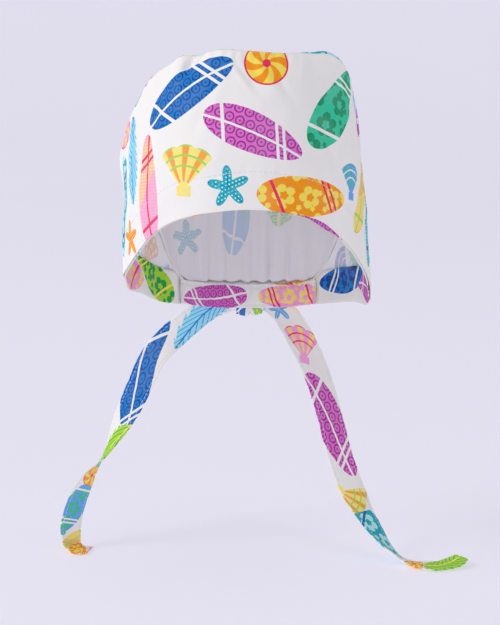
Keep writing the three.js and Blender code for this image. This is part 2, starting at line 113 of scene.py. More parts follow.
def column(name, angle):
    """One column of the table at any angle, by a smooth curve round the closed table."""
    angles, values = SECTIONS[:, 0], SECTIONS[:, SECTION_COLUMNS.index(name)]
    rows = len(angles)
    lap = (np.asarray(angle, float) - angles[0]) % 360 + angles[0]
    here = np.searchsorted(angles, lap, side="right") - 1

    def row(index):
        return angles[index % rows] + 360 * (index // rows), values[index % rows]

    (a, va), (b, vb), (c, vc), (d, vd) = (row(here + k) for k in (-1, 0, 1, 2))
    t = (lap - b) / (c - b)
    slope_b = (vc - va) / (c - a) * (c - b)
    slope_c = (vd - vb) / (d - b) * (c - b)
    start = (2 * t**3 - 3 * t**2 + 1) * vb + (t**3 - 2 * t**2 + t) * slope_b
    return start + (3 * t**2 - 2 * t**3) * vc + (t**3 - t**2) * slope_c


print("sections:", len(SECTIONS), "hem at the front:", float(column("hem_z", 0)), "mm")

# %% [markdown]
# Folds and gathers are what make the outline read as cloth. Each is a soft bump with a
# place, a size, a slant and a height, so a table row describes it fully. The larger ones
# stand in the solids too; the finer ones below them are too small to matter there.

# %% The tables of folds and gathers
# Level is 0 at the hem, 1 at the top seam and 2 at the apex. Columns of both fold tables:
# angle, level, spread in degrees, run in levels, slant in degrees a level, height in mm.
FOLDS = np.array([
    (-31, 1.00, 4.5, 0.10, 0, 2.4),
    (-27, 0.92, 2.8, 0.06, 20, -2.6),
    (-22, 1.00, 3.6, 0.09, 0, -2.4),
    (-9, 1.00, 9, 0.10, 0, 1.2),
    (37, 0.72, 2.6, 0.30, -4, 1.4),
    (31, 0.75, 4, 0.25, -4, -0.8),
    (2, 0.88, 3, 0.12, -30, -0.9),
    (9, 0.84, 3, 0.12, -30, 0.8),
    (38, 1.08, 11, 0.11, 0, 3.2),
    (75, 1.25, 22, 0.22, 0, 1.6),
    (-92, 0.84, 16, 0.12, 20, 3.0),
    (-88, 0.45, 14, 0.14, 10, -1.2),
    (-116, 0.5, 5, 0.50, -14, 2.6),
    (-127, 0.6, 5, 0.50, -14, -2.4),
    (-138, 0.6, 4, 0.45, -10, 2.2),
    (116, 0.5, 5, 0.50, 14, 2.4),
    (127, 0.6, 5, 0.50, 14, -2.4),
    (138, 0.6, 4, 0.45, 10, 2.2),
    (-50, 1.55, 24, 0.16, 0, -2.2),
    (156, 1.42, 7, 0.34, 16, 3.0),
    (171, 1.40, 6, 0.30, 6, -2.4),
    (-152, 1.40, 7, 0.34, -16, 3.0),
    (-166, 1.44, 6, 0.30, -6, -2.6),
    (180, 1.30, 24, 0.07, 0, 2.6),
])
# The gathers start at the nape's seam. Columns: angle, spread, height and run.
GATHERS = np.array([
    (152, 2.3, 2.0, 0.20), (158.5, 2.0, 2.6, 0.34), (165, 2.2, 2.4, 0.26),
    (171, 1.9, 2.8, 0.42), (177.5, 2.1, 2.4, 0.30), (-176, 2.0, 2.8, 0.38),
    (-169.5, 2.2, 2.4, 0.24), (-163.5, 1.9, 2.8, 0.36), (-157, 2.2, 2.4, 0.28),
    (-151, 2.1, 2.0, 0.18),
])
# These are in the cloth alone, because they are too fine for the solids.
FINE_FOLDS = np.array([
    (-27.5, 0.950, 1.5, 0.030, 45, -1.7),
    (-24.8, 0.960, 1.4, 0.028, 45, 1.0),
    (-4, 0.86, 1.5, 0.10, -55, 1.1),
    (0, 0.82, 1.5, 0.09, -55, -1.1),
    (5, 0.90, 1.3, 0.08, -45, 0.9),
    (14, 0.80, 1.8, 0.11, -40, -0.9),
    (-14, 0.66, 2.4, 0.15, 25, 0.7),
    (-18, 0.60, 2.4, 0.14, 25, -0.6),
    (24, 0.92, 1.6, 0.08, 10, 0.6),
    (30, 0.42, 2.6, 0.16, -25, 0.6),
    (35, 0.45, 2.2, 0.16, -25, -0.6),
    (36.5, 0.70, 1.2, 0.26, -4, -0.7),
    (44, 0.86, 1.6, 0.12, -20, -0.7),
    (51, 0.60, 2.6, 0.26, -12, 0.7),
    (57, 0.62, 2.2, 0.24, -12, -0.6),
    (-38, 0.72, 2.4, 0.20, 14, 0.5),
    (-44, 0.60, 2.6, 0.24, 14, -0.5),
    (-62, 0.80, 3.0, 0.16, 22, 0.8),
    (-68, 0.70, 2.6, 0.20, 22, -0.8),
    (-78, 0.35, 3.0, 0.22, 18, 0.7),
    (-100, 0.30, 3.0, 0.30, -12, -0.9),
    (74, 0.45, 3.0, 0.30, -10, 0.7),
    (82, 0.50, 2.8, 0.30, -8, -0.8),
    (98, 0.40, 3.0, 0.36, 10, 0.9),
    (107, 0.45, 2.6, 0.36, 12, -0.8),
    (-35, 1.12, 2.4, 0.14, 12, -0.9),
    (-14, 1.10, 3.0, 0.12, -8, 0.6),
    (20, 1.12, 3.0, 0.12, 8, -0.6),
    (58, 1.15, 3.4, 0.20, 10, -0.9),
    (110, 1.30, 4.0, 0.30, 14, 1.2),
    (128, 1.25, 3.6, 0.34, 14, -1.2),
    (142, 1.35, 3.0, 0.30, 12, 1.1),
    (-112, 1.28, 4.0, 0.30, -14, 1.2),
    (-128, 1.25, 3.6, 0.34, -14, -1.2),
    (-143, 1.35, 3.0, 0.30, -12, 1.1),
])
# The fine gathers above the casing: waves round the whole cap, height in mm and phase.
NAPE_PLEATS = [(97, 1.1, 0.4), (61, 0.9, 2.0), (139, 0.45, 1.1)]
print("folds:", len(FOLDS) + len(FINE_FOLDS), "gathers:", len(GATHERS))

# %% From the tables to a height
def bump(offset, half_size):
    return np.exp(-((offset / half_size) ** 2))


def turn_between(angle, centre):
    """The difference of two angles in degrees, the short way round."""
    return (angle - centre + 540) % 360 - 180


def height_of(folds, angle, level):
    """How far the rows of a table of folds lift the cloth, in millimetres."""
    height = np.zeros(np.shape(angle))
    for at, at_level, spread, run, slant, high in folds:
        up = level - at_level
        height += high * bump(turn_between(angle, at + slant * up), spread) * bump(up, run)
    return height


def fold_height(angle, level):
    """The folds and gathers that the solids have too, in millimetres."""
    height = height_of(FOLDS, angle, level)
    for at, spread, high, run in GATHERS:
        up = np.maximum(0, level - 1)
        height += high * bump(turn_between(angle, at), spread) * bump(up, run)
    return height


side_fold = fold_height(np.array([-116.0]), np.array([0.5]))[0]
print("the fold behind the left side stands out by", round(float(side_fold), 1), "mm")

# %% [markdown]
# The surface itself has two parts. Below the top seam the band runs straight from hem to
# seam with a slight belly. Above it, each section is a curve that rises past the seam,
# leans, and turns over to the apex. Small puckers beside the seam and a soft crumple over
# everything come last, because real cotton is never as smooth as a curve.

# %% Directions on the cap
FOLDS_SIDEWAYS = 0.7
FOLDS_UPWARDS = 1.5


def unit(vectors):
    return vectors / np.maximum(np.linalg.norm(vectors, axis=-1, keepdims=True), 1e-12)


def outward_of(angle):
    turn = np.radians(angle)
    return np.stack([np.sin(turn), -np.cos(turn), np.zeros(np.shape(turn))], axis=-1)


def plan_point(angle, inset, height):
    """A point on the plan outline of the cap's opening, pulled in by inset."""
    side, ahead = np.sin(np.radians(angle)), np.cos(np.radians(angle))
    depth = np.where(ahead > 0, FRONT_DEPTH, BACK_DEPTH)
    across = (np.abs(side) / HALF_WIDTH) ** PLAN_ROUNDNESS
    along = (np.abs(ahead) / depth) ** PLAN_ROUNDNESS
    radius = (across + along) ** (-1 / PLAN_ROUNDNESS) - inset
    return np.stack([radius * side, -radius * ahead, height + 0 * radius], axis=-1)


def smoothstep(value, low, high):
    t = np.clip((value - low) / (high - low), 0, 1)
    return t * t * (3 - 2 * t)


def lifted(level, outward):
    """The way folds stand out: sideways on the band, upwards on the top."""
    tilt = (math.pi / 2) * smoothstep(level, FOLDS_SIDEWAYS, FOLDS_UPWARDS)[..., None]
    return outward * np.cos(tilt) + np.array([0, 0, 1.0]) * np.sin(tilt)


print("the front of the plan is at y", round(float(plan_point(0.0, 0, 0)[1])), "mm")

# %% The surface of the cap
def bare_point(angle, level):
    """The cap's surface before any fold, in millimetres."""
    seam = plan_point(angle, column("seam_in", angle), column("seam_z", angle))
    hem = plan_point(angle, column("hem_in", angle), column("hem_z", angle))
    outward = outward_of(angle)
    share = np.minimum(level, 1)[..., None]
    band = hem + (seam - hem) * share
    band += outward * column("belly", angle)[..., None] * 4 * share * (1 - share)
    past = seam + outward * column("lean", angle)[..., None]
    past[..., 2] += column("rise", angle)
    over_seam = seam.copy()
    over_seam[..., 2] = APEX[2]
    flat = APEX + (over_seam - APEX) * column("reach", angle)[..., None]
    t = np.clip(level - 1, 0, 1)[..., None]
    rising = (1 - t) ** 3 * seam + 3 * (1 - t) ** 2 * t * past
    top = rising + 3 * (1 - t) * t**2 * flat + t**3 * APEX
    return np.where((level <= 1)[..., None], band, top)


def cap_point(angle, level):
    """The surface with the folds that the solids have too."""
    angle, level = np.broadcast_arrays(np.asarray(angle, float), np.asarray(level, float))
    out = lifted(level, outward_of(angle))
    return bare_point(angle, level) + out * fold_height(angle, level)[..., None]


def band_height(angle):
    """How tall the band is there, along the cloth."""
    return np.linalg.norm(cap_point(angle, 1.0) - cap_point(angle, 0.0), axis=-1)


print("band height at the front:", round(float(band_height(np.array([0.0]))[0]), 1), "mm")

# %% The finished outer surface
PUCKERS_ROUND = 74
PUCKER_HEIGHT = 0.5
PUCKER_RUN = 6
TOP_RUN = 90
STITCH_HEIGHT = 23.0
STITCH_DENT = 0.28
PLEAT_RUN = 0.24
PLEATS_FROM, PLEATS_FULL = 136, 156
PLEATS_BELOW_SEAM = 0.4
# Rows of height in mm, size in mm and seed.
CRUMPLES = [(0.85, 30, 1), (0.4, 11, 2), (0.12, 5, 3)]
STILL_AT_SEAM = 2.5
STILL_AT_HEM = 4
LEAST_SHARE = 0.25


def crumple(points, size, seed):
    """A soft random unevenness of about plus or minus one, from one place to the next."""
    shift = Vector((seed * 7.3, seed * 3.1, seed * 5.7))
    return np.array([noise.noise(Vector(p) / size + shift) for p in points])


def cloth_point(angle, level):
    """The finished outer surface: folds, fine folds, seam puckers and crumple."""
    angle, level = np.broadcast_arrays(np.asarray(angle, float), np.asarray(level, float))
    base = cap_point(angle, level)
    fine = height_of(FINE_FOLDS, angle, level)
    tall, on_band = band_height(angle), level < 1
    from_seam = np.abs(level - 1) * np.where(on_band, tall, TOP_RUN)
    turn = np.radians(angle)
    ripple = np.sin(PUCKERS_ROUND * turn + 2.2 * np.sin(8 * turn))
    ripple *= 0.55 + 0.45 * np.sin(5 * turn + 1.3)
    fine += PUCKER_HEIGHT * ripple * bump(from_seam - 2, PUCKER_RUN)
    above_stitch = level * tall - STITCH_HEIGHT
    fine -= STITCH_DENT * bump(above_stitch, 1.1) * on_band
    fine += STITCH_DENT / 2 * ripple * bump(above_stitch, 4) * on_band
    pleats = sum(high * np.sin(waves * turn + phase) for waves, high, phase in NAPE_PLEATS)
    nape = smoothstep(np.abs(turn_between(angle, 0)), PLEATS_FROM, PLEATS_FULL)
    nape *= np.where(on_band, PLEATS_BELOW_SEAM, 1)
    fine += pleats * nape * bump(np.maximum(level - 1, 0), PLEAT_RUN)
    fine += sum(high * crumple(base, size, seed) for high, size, seed in CRUMPLES)
    from_hem = np.where(on_band, np.minimum(level * tall / STILL_AT_HEM, 1), 1)
    edge = np.minimum(from_seam / STILL_AT_SEAM, 1) * from_hem
    fine *= LEAST_SHARE + (1 - LEAST_SHARE) * edge
    out = lifted(level, outward_of(angle))
    return base + out * fine[..., None]


front_seam = cloth_point(np.array([0.0]), np.array([1.0]))[0]
print("the seam in front is at", [round(float(c), 1) for c in front_seam], "mm")

# %% [markdown]
# Every cloth piece starts as a flat grid, as cloth does, and its corners are then moved to
# the surface. A grid keeps the rows of threads, so the flat measure of the cloth goes into
# a UV map called threads while the grid is still flat. Where an edge is sewn, a strip is
# extruded from it, turned in, and the fold is rounded with a bevel.

# %% A grid of cloth
def cloth_grid(across, up, place, threads):
    """A grid whose corners go to place(u, v) in mm; threads(u, v) is the flat cloth in mm."""
    mesh = bmesh.new()
    weave = mesh.loops.layers.uv.new("threads")
    shares = [mesh.verts.layers.float.new(name) for name in ("along", "upward")]
    bmesh.ops.create_grid(mesh, x_segments=across, y_segments=up, size=0.5)
    corner = np.clip(np.array([v.co[:2] for v in mesh.verts]) + 0.5, 0, 1)
    points = place(corner[:, 0], corner[:, 1]) * MM
    flat = threads(corner[:, 0], corner[:, 1])
    for vert, point, (u, v) in zip(mesh.verts, points, corner):
        vert.co = point
        vert[shares[0]], vert[shares[1]] = u, v
    for face in mesh.faces:
        for loop in face.loops:
            loop[weave].uv = flat[loop.vert.index]
    return mesh


def drape(mesh, place):
    """Moves the corners of a grid to another surface."""
    along, upward = (mesh.verts.layers.float[name] for name in ("along", "upward"))
    shares = np.array([(v[along], v[upward]) for v in mesh.verts])
    for vert, point in zip(mesh.verts, place(shares[:, 0], shares[:, 1]) * MM):
        vert.co = point
    mesh.normal_update()


def rim(mesh, share_name, value):
    """The free edges of a grid along one of its sides."""
    share = mesh.verts.layers.float[share_name]
    return [
        e for e in mesh.edges
        if e.is_boundary and all(abs(v[share] - value) < 1e-5 for v in e.verts)
    ]


def turn_in(mesh, edges, ways, depth, radius):
    """Extrudes a rim, moves it by ways(corners) times depth and rounds the fold."""
    mesh.verts.index_update()
    fold = {tuple(sorted(v.index for v in e.verts)) for e in edges}
    made = bmesh.ops.extrude_edge_only(mesh, edges=edges)["geom"]
    corners = [g for g in made if isinstance(g, bmesh.types.BMVert)]
    for vert, way in zip(corners, ways(corners)):
        vert.co += Vector(way) * depth * MM
    folded = [e for e in mesh.edges if tuple(sorted(v.index for v in e.verts)) in fold]
    bmesh.ops.bevel(
        mesh, geom=folded, offset=radius * MM, offset_type="OFFSET", segments=2,
        profile=0.5, affect="EDGES", material=-1, clamp_overlap=True,
    )
    mesh.verts.index_update()


# %% [markdown]
# The print is a summer print of boards, shells, stars and leaves on white. One texture over
# the whole cap would smear where the cloth turns and could not be cut at a seam. So each
# motif has a place of its own on the cloth, and each face keeps its own place on its
# nearest motif in the UV map called print, with the kind and inks of that motif. Real cloth
# is printed before it is sewn, so the print is laid while the cloth is still smooth, and
# the folds come after it.

# %% The inks
def ink(red, green, blue):
    """A linear colour from the usual 0 to 255 values."""
    levels = np.array([red, green, blue]) / 255
    linear = np.where(levels <= 0.04045, levels / 12.92, ((levels + 0.055) / 1.055) ** 2.4)
    return (*linear, 1.0)


WHITE = ink(248, 247, 240)
# Each set: the ground of the motif, the pattern on it, and the band across it.
INKS = {
    "magenta": (ink(230, 112, 206), ink(148, 44, 134), WHITE),
    "cobalt": (ink(0, 124, 204), ink(0, 68, 148), WHITE),
    "orange": (ink(255, 156, 0), ink(255, 232, 92), ink(240, 40, 96)),
    "green": (ink(50, 208, 160), ink(0, 156, 104), WHITE),
    "rose": (ink(255, 168, 222), ink(255, 228, 120), ink(240, 50, 112)),
    "aqua": (ink(156, 228, 246), ink(44, 160, 222), ink(20, 130, 204)),
    "teal": (ink(16, 180, 194), ink(190, 244, 244), ink(0, 114, 170)),
    "lemon": (ink(255, 238, 130), ink(255, 170, 70), ink(170, 226, 96)),
    "lime": (ink(172, 228, 48), ink(16, 166, 78), ink(255, 240, 100)),
    "sky": (ink(106, 172, 242), ink(70, 200, 146), WHITE),
}
# Each kind of motif: its number in the shader, and its half width for a half length of one.
KINDS = {
    "dotted board": (1, 0.40), "blossom board": (2, 0.40), "checked board": (3, 0.34),
    "star": (4, 1.0), "shell": (5, 0.9), "leaf": (6, 0.42), "ball": (7, 1.0),
}
print("inks:", len(INKS), "kinds of motif:", len(KINDS))

# %% Measuring the cloth from a motif's middle
MOTIF_REACH = 1.4


def on_cap(mesh):
    """Places on a curved piece; a row is kind, inks, half length, angle, level and turn."""
    corners = np.array([loop.vert.co for face in mesh.faces for loop in face.loops]) / MM

    def places(row):
        angle, level = np.array([float(row[3])]), np.array([float(row[4])])
        east = unit(bare_point(angle + 0.5, level) - bare_point(angle - 0.5, level))[0]
        north = (bare_point(angle, level + 0.01) - bare_point(angle, level - 0.01))[0]
        north = unit(north - east * north.dot(east))
        away = corners - bare_point(angle, level)
        flat = np.stack([away @ east, away @ north], axis=-1)
        # The direction is the one seen from straight above, the distance is the real one.
        flat = unit(flat) * np.linalg.norm(away, axis=1, keepdims=True)
        return turned(flat, row[5])
    return places


def on_strip(mesh):
    """Places on a folded strip; a row is kind, inks, half length, along, across and turn."""
    threads = mesh.loops.layers.uv["threads"]
    flat = np.array([loop[threads].uv for face in mesh.faces for loop in face.loops])
    return lambda row: turned(flat - np.array(row[3:5]), row[5])


def turned(flat, turn):
    """The same places read along a motif that is turned by some degrees."""
    ahead, aside = math.cos(math.radians(turn)), math.sin(math.radians(turn))
    return flat @ np.array([[ahead, -aside], [aside, ahead]])


def lay_print(mesh, rows, places):
    """Gives every face its nearest motif; places(row) is each face corner's place in mm."""
    counts = np.array([len(face.verts) for face in mesh.faces])
    starts = np.cumsum(counts) - counts
    nearest = np.full(len(counts), MOTIF_REACH)
    chosen = np.full(len(counts), -1)
    kept = np.zeros((counts.sum(), 2))
    for number, row in enumerate(rows):
        flat = places(row) / row[2]
        middle = np.add.reduceat(flat, starts) / counts[:, None]
        measure = np.hypot(middle[:, 0], middle[:, 1] / KINDS[row[0]][1])
        better = measure < nearest
        nearest[better], chosen[better] = measure[better], number
        wide = np.repeat(better, counts)
        kept[wide] = flat[wide]
    print_map = mesh.loops.layers.uv.new("print")
    motif = mesh.faces.layers.float.new("motif")
    colours = mesh.faces.layers.float_color
    inks = [colours.new(name) for name in ("ink_ground", "ink_mark", "ink_band")]
    for face, number, start in zip(mesh.faces, chosen, starts):
        row = rows[number] if number >= 0 else None
        face[motif] = KINDS[row[0]][0] if row else 0
        for layer, colour in zip(inks, INKS[row[1]] if row else (WHITE,) * 3):
            face[layer] = colour
        for loop, place in zip(face.loops, kept[start:]):
            loop[print_map].uv = place
    return int((chosen >= 0).sum())


print("cloth stays white from", MOTIF_REACH, "half lengths off a motif's middle")

# %% [markdown]
# The shader draws each motif from its own two coordinates with plain arithmetic, so its
# edges stay sharp however close the camera comes. Each shape is a mask of one or zero, and
# the patterns in it are masks too. A motif's own coordinates run from -1 to 1 along its
# length. Writing the arithmetic as Python sums keeps the node tree readable: every sum,
# product or comparison below adds one Math node.

# %% Arithmetic that builds nodes
def operation(name, swapped=False):
    """A method that adds one Math node of that name."""
    return lambda field, *others: field.math(name, *others, swapped=swapped)


class Field:
    """A number worked out by a node tree at each point of the surface."""

    def __init__(self, tree, socket):
        self.tree, self.socket = tree, socket

    def math(self, name, *others, swapped=False):
        node = self.tree.nodes.new("ShaderNodeMath")
        node.operation = name
        values = (*others, self) if swapped else (self, *others)
        for socket, value in zip(node.inputs, values):
            if isinstance(value, Field):
                self.tree.links.new(value.socket, socket)
            else:
                socket.default_value = value
        return Field(self.tree, node.outputs[0])

    __add__ = operation("ADD")
    __sub__ = operation("SUBTRACT")
    __rsub__ = operation("SUBTRACT", swapped=True)
    __mul__ = operation("MULTIPLY")
    __pow__ = operation("POWER")
    __gt__ = operation("GREATER_THAN")
    __lt__ = operation("LESS_THAN")
    __abs__ = operation("ABSOLUTE")
    cos = operation("COSINE")
    sin = operation("SINE")
    fraction = operation("FRACT")
    floor = operation("FLOOR")
    least = operation("MINIMUM")
    most = operation("MAXIMUM")
    # The angle of the point (other, self) round the middle, in radians.
    angle_to = operation("ARCTAN2")


def length_of(x, y):
    return (x * x + y * y) ** 0.5


print("a field can also do:", [name for name in vars(Field) if name[0] != "_"])

# %% What the shader reads, and how it mixes
def attribute(tree, name, output):
    node = tree.nodes.new("ShaderNodeAttribute")
    node.attribute_name = name
    return node.outputs[output]


def map_place(tree, name):
    """The two coordinates of one of the piece's UV maps."""
    node = tree.nodes.new("ShaderNodeUVMap")
    node.uv_map = name
    parts = tree.nodes.new("ShaderNodeSeparateXYZ")
    tree.links.new(node.outputs["UV"], parts.inputs[0])
    return Field(tree, parts.outputs["X"]), Field(tree, parts.outputs["Y"])


def colour_mix(tree, share, first, second):
    """The first colour where share is zero, the second where it is one."""
    node = tree.nodes.new("ShaderNodeMix")
    node.data_type = "RGBA"
    sockets = (node.inputs["Factor"], node.inputs[6], node.inputs[7])
    for socket, value in zip(sockets, (share, first, second)):
        if isinstance(value, Field):
            tree.links.new(value.socket, socket)
        elif isinstance(value, bpy.types.NodeSocket):
            tree.links.new(value, socket)
        else:
            socket.default_value = value
    return node.outputs[2]


# %% The shapes that motifs are made of
NOSE_TAPER = 0.16


def staggered(x, y, cells):
    """Coordinates round the middle of each cell in rows set off like bricks."""
    row = (y * cells).floor()
    across = x * cells + row * 0.5
    return across.fraction() - 0.5, (y * cells).fraction() - 0.5


def petals(x, y, size, count, turn):
    """A blossom with rounded petals, one where it is inked."""
    around = y.angle_to(x) + turn
    reach = abs((around * (count / 2)).cos()) ** 0.55 * 0.46 + 0.54
    return length_of(x, y) < reach * size


def board(u, v, width):
    """A long board, a little slimmer at its nose."""
    profile = ((1 - u * u).most(0.0) ** 0.5) * (1 - u * NOSE_TAPER)
    return abs(v) < profile * width


print("a board's two ends are", 1 - NOSE_TAPER, "and", 1 + NOSE_TAPER, "of its middle's width")

# %% The patterns on the motifs
def board_patterns(u, v):
    """The dots, blossoms and checks that boards carry, and the lines across them."""
    stringer = abs(v + u * u * 0.05) < 0.022
    stripes = (abs(abs(u + v * 0.5 - 0.56) - 0.07) < 0.03).most(abs(u + v * 0.5 + 0.62) < 0.035)
    dot_x, dot_y = staggered(u, v, 4.8)
    dot = length_of(dot_x, dot_y)
    rings = ((dot > 0.31) * (dot < 0.44)).most(dot < 0.09)
    bloom_x, bloom_y = staggered(u + 0.21, v * 1.08 + 0.27, 1.85)
    blooms = petals(bloom_x, bloom_y, 0.44, 5, 0.6) * (1 - petals(bloom_x, bloom_y, 0.17, 5, 1.22))
    small_x, small_y = staggered(u + 0.47, v + 0.06, 3.3)
    blooms = blooms.most(petals(small_x, small_y, 0.20, 5, 0.2))
    checks = ((u * 17).fraction() < 0.42).most((v * 17).fraction() < 0.34)
    patch = (u * 3.1 + (v * 5.0).sin()).sin() > 0.15
    return rings, blooms, checks * (patch * 0.75 + 0.25), stringer.most(stripes), stripes


def star_masks(u, v, distance, around):
    """A starfish with five arms, dots along them and a line down each."""
    arm = (around * 5).cos() * 0.27 + 0.60
    dots = (length_of(*staggered(u, v, 6.6)) < 0.24) * (distance < arm - 0.1)
    spine = (abs((around * 2.5).sin()) * distance < 0.03) * ((around * 5).cos() > 0)
    return distance < arm, dots, spine


def shell_masks(u, v):
    """A fan with a scalloped edge and a small foot, ribs from the foot and arcs across them."""
    fan_u = u + 0.62
    fan, fan_angle = length_of(fan_u, v), v.angle_to(fan_u)
    scallop = abs((fan_angle * 6.5).cos()) * 0.07 + 1.36
    foot = (abs(fan_u) < 0.16) * (abs(v) < 0.26)
    shell = ((fan < scallop) * (abs(fan_angle) < 0.72)).most(foot)
    ribs = ((fan_angle * 13).cos() > 0.35) * (fan > 0.3)
    arcs = (abs((fan * 3.2).fraction() - 0.5) < 0.10) * (fan > 0.5)
    return shell, ribs, arcs


def leaf_masks(u, v):
    """A palm leaf with a notched edge, slanting veins and a midrib."""
    notch = (u * 5.5 + abs(v) * 3.0).fraction()
    blade = (1 - u * u).most(0.0) ** 0.7 * 0.44
    veins = ((u - abs(v) * 1.3) * 5.5).fraction() < 0.2
    return abs(v) < blade * (1 - notch * 0.30), veins, abs(v) < 0.022


def ball_masks(distance, around):
    """A ball with three swirled wedges, a hub and a rim."""
    wedge = ((around + distance * 0.9) * (3 / math.pi)).fraction() < 0.5
    return distance < 0.86, wedge, (distance < 0.16).most(distance > 0.79)


def motif_masks(u, v):
    """For each kind: the mask of its shape, of the pattern on it, and of its band."""
    distance, around = length_of(u, v), v.angle_to(u)
    rings, blooms, checks, lines, stripes = board_patterns(u, v)
    return {
        "dotted board": (board(u, v, 0.37), rings, lines),
        "blossom board": (board(u, v, 0.38), blooms, stripes),
        "checked board": (board(u, v, 0.30), checks, lines),
        "star": star_masks(u, v, distance, around),
        "shell": shell_masks(u, v),
        "leaf": leaf_masks(u, v),
        "ball": ball_masks(distance, around),
    }


# %% The print as a node group
def summer_print():
    """A node group that gives the colour of the printed cloth."""
    tree = bpy.data.node_groups.new("summer_print", "ShaderNodeTree")
    tree.interface.new_socket("Colour", in_out="OUTPUT", socket_type="NodeSocketColor")
    u, v = map_place(tree, "print")
    kind = Field(tree, attribute(tree, "motif", "Fac"))
    layers = []
    for name, (shape, mark, band) in motif_masks(u, v).items():
        shape = shape * (abs(kind - KINDS[name][0]) < 0.5)
        layers.append((shape, mark * shape, band * shape))
    shape, mark, band = (reduce(lambda a, b: a + b, layer) for layer in zip(*layers))
    ground = attribute(tree, "ink_ground", "Color")
    colour = colour_mix(tree, mark, ground, attribute(tree, "ink_mark", "Color"))
    colour = colour_mix(tree, band, colour, attribute(tree, "ink_band", "Color"))
    colour = colour_mix(tree, shape, WHITE, colour)
    output = tree.nodes.new("NodeGroupOutput")
    tree.links.new(colour, output.inputs["Colour"])
    print("print group:", len(tree.nodes), "nodes")
    return tree


SUMMER_PRINT = summer_print()

# %% [markdown]
# Cotton poplin is matt, with a faint sheen at grazing angles and a weave that repeats about
# every half millimetre. The weave is a bump from the threads map. Slubs, the slightly thicker
# threads, are a noise stretched along each direction. The inner side of printed cloth
# shows the same print, paler and a little cooler, so one function makes both finishes.

# %% A matt finish with a weave
THREAD_PITCH = 0.52
THREAD_DEPTH = 0.06
WEAVE_STRENGTH = 0.35
# A slub is long one way and short the other: how often it changes in a millimetre.
SLUB_ALONG, SLUB_ACROSS = 0.09, 1.9
COTTON = {
    "Roughness": 0.86, "Specular IOR Level": 0.15, "Sheen Weight": 0.06,
    "Sheen Roughness": 0.45,
}


def principled(name, finish=COTTON):
    """A new material with the finish's values, its node tree and its shader."""
    material = bpy.data.materials.new(name)
    material.use_nodes = True
    tree = material.node_tree
    shader = tree.nodes["Principled BSDF"]
    for socket, value in finish.items():
        shader.inputs[socket].default_value = value
    return material, tree, shader


def bump_from(tree, shader, height, strength, depth):
    """Tilts the shader's normal by a height whose depth is in millimetres."""
    node = tree.nodes.new("ShaderNodeBump")
    node.inputs["Strength"].default_value = strength
    node.inputs["Distance"].default_value = depth * MM
    tree.links.new(height, node.inputs["Height"])
    tree.links.new(node.outputs["Normal"], shader.inputs["Normal"])


def slubs(tree, x, y, seed):
    """A noise drawn out along the threads, about 0.5 in the middle."""
    join = tree.nodes.new("ShaderNodeCombineXYZ")
    tree.links.new(x.socket, join.inputs[0])
    tree.links.new(y.socket, join.inputs[1])
    join.inputs[2].default_value = seed
    node = tree.nodes.new("ShaderNodeTexNoise")
    node.inputs["Scale"].default_value = 1.0
    node.inputs["Detail"].default_value = 2.0
    tree.links.new(join.outputs[0], node.inputs["Vector"])
    return Field(tree, node.outputs["Fac"])


def weave_bump(tree, shader):
    """Crossing threads as a bump, from the flat measure of the cloth in millimetres."""
    x, y = map_place(tree, "threads")
    turns = 2 * math.pi / THREAD_PITCH
    over = (x * turns).sin() * (y * turns).sin()
    along = slubs(tree, x * SLUB_ALONG, y * SLUB_ACROSS, 1.0)
    across = slubs(tree, x * SLUB_ACROSS, y * SLUB_ALONG, 5.0)
    height = over * 0.5 + along * 0.8 + across * 0.8
    bump_from(tree, shader, height.socket, WEAVE_STRENGTH, THREAD_DEPTH)
    return x, y, along, across


print("the weave repeats", round(10 / THREAD_PITCH), "times to the centimetre")

# %% Printed cotton
# The slubs' sum from which ink is worn off the threads, how fast, and the most of it.
WEAR_FROM = 0.88
WEAR_RATE = 0.13
WEAR_MOST = 0.3
WORN_TONE = (0.97, 0.96, 0.98, 1.0)
SHADE_SHARE = 0.35
SHADE_TONE = (0.72, 0.70, 0.78, 1.0)
INNER_TONE = (0.96, 0.95, 0.97, 1.0)
INNER_PALENESS = 0.58
THREAD_TONE = ink(236, 236, 240)
TWIST_SCALE = 1.1 / MM / 3
TWIST_DEPTH = 0.08


def printed_cotton(name, paleness=0.0):
    """The print on cotton; paleness is how much of the ink the inner side loses."""
    material, tree, shader = principled(name)
    x, y, along, across = weave_bump(tree, shader)
    ink_group = tree.nodes.new("ShaderNodeGroup")
    ink_group.node_tree = SUMMER_PRINT
    colour = ink_group.outputs["Colour"]
    if paleness:
        colour = colour_mix(tree, paleness, colour, INNER_TONE)
    wear = (along + across - WEAR_FROM) * WEAR_RATE
    worn = colour_mix(tree, wear.most(0.0).least(WEAR_MOST), colour, WORN_TONE)
    patches = (slubs(tree, x * 0.05, y * 0.05, 9.0) - 0.5).most(0.0)
    shaded = colour_mix(tree, patches * SHADE_SHARE, worn, SHADE_TONE)
    tree.links.new(shaded, shader.inputs["Base Color"])
    return material


def plain_thread(name, colour):
    """Sewing thread: two strands twisted together, a shade apart."""
    material, tree, shader = principled(name, {**COTTON, "Roughness": 0.6})
    place = tree.nodes.new("ShaderNodeTexCoord")
    wave = tree.nodes.new("ShaderNodeTexWave")
    wave.bands_direction = "DIAGONAL"
    wave.inputs["Scale"].default_value = TWIST_SCALE
    wave.inputs["Distortion"].default_value = 0.6
    tree.links.new(place.outputs["Object"], wave.inputs["Vector"])
    darker = (*(c * 0.86 for c in colour[:3]), 1.0)
    tint = colour_mix(tree, wave.outputs["Fac"], colour, darker)
    tree.links.new(tint, shader.inputs["Base Color"])
    bump_from(tree, shader, wave.outputs["Fac"], 0.5, TWIST_DEPTH)
    return material


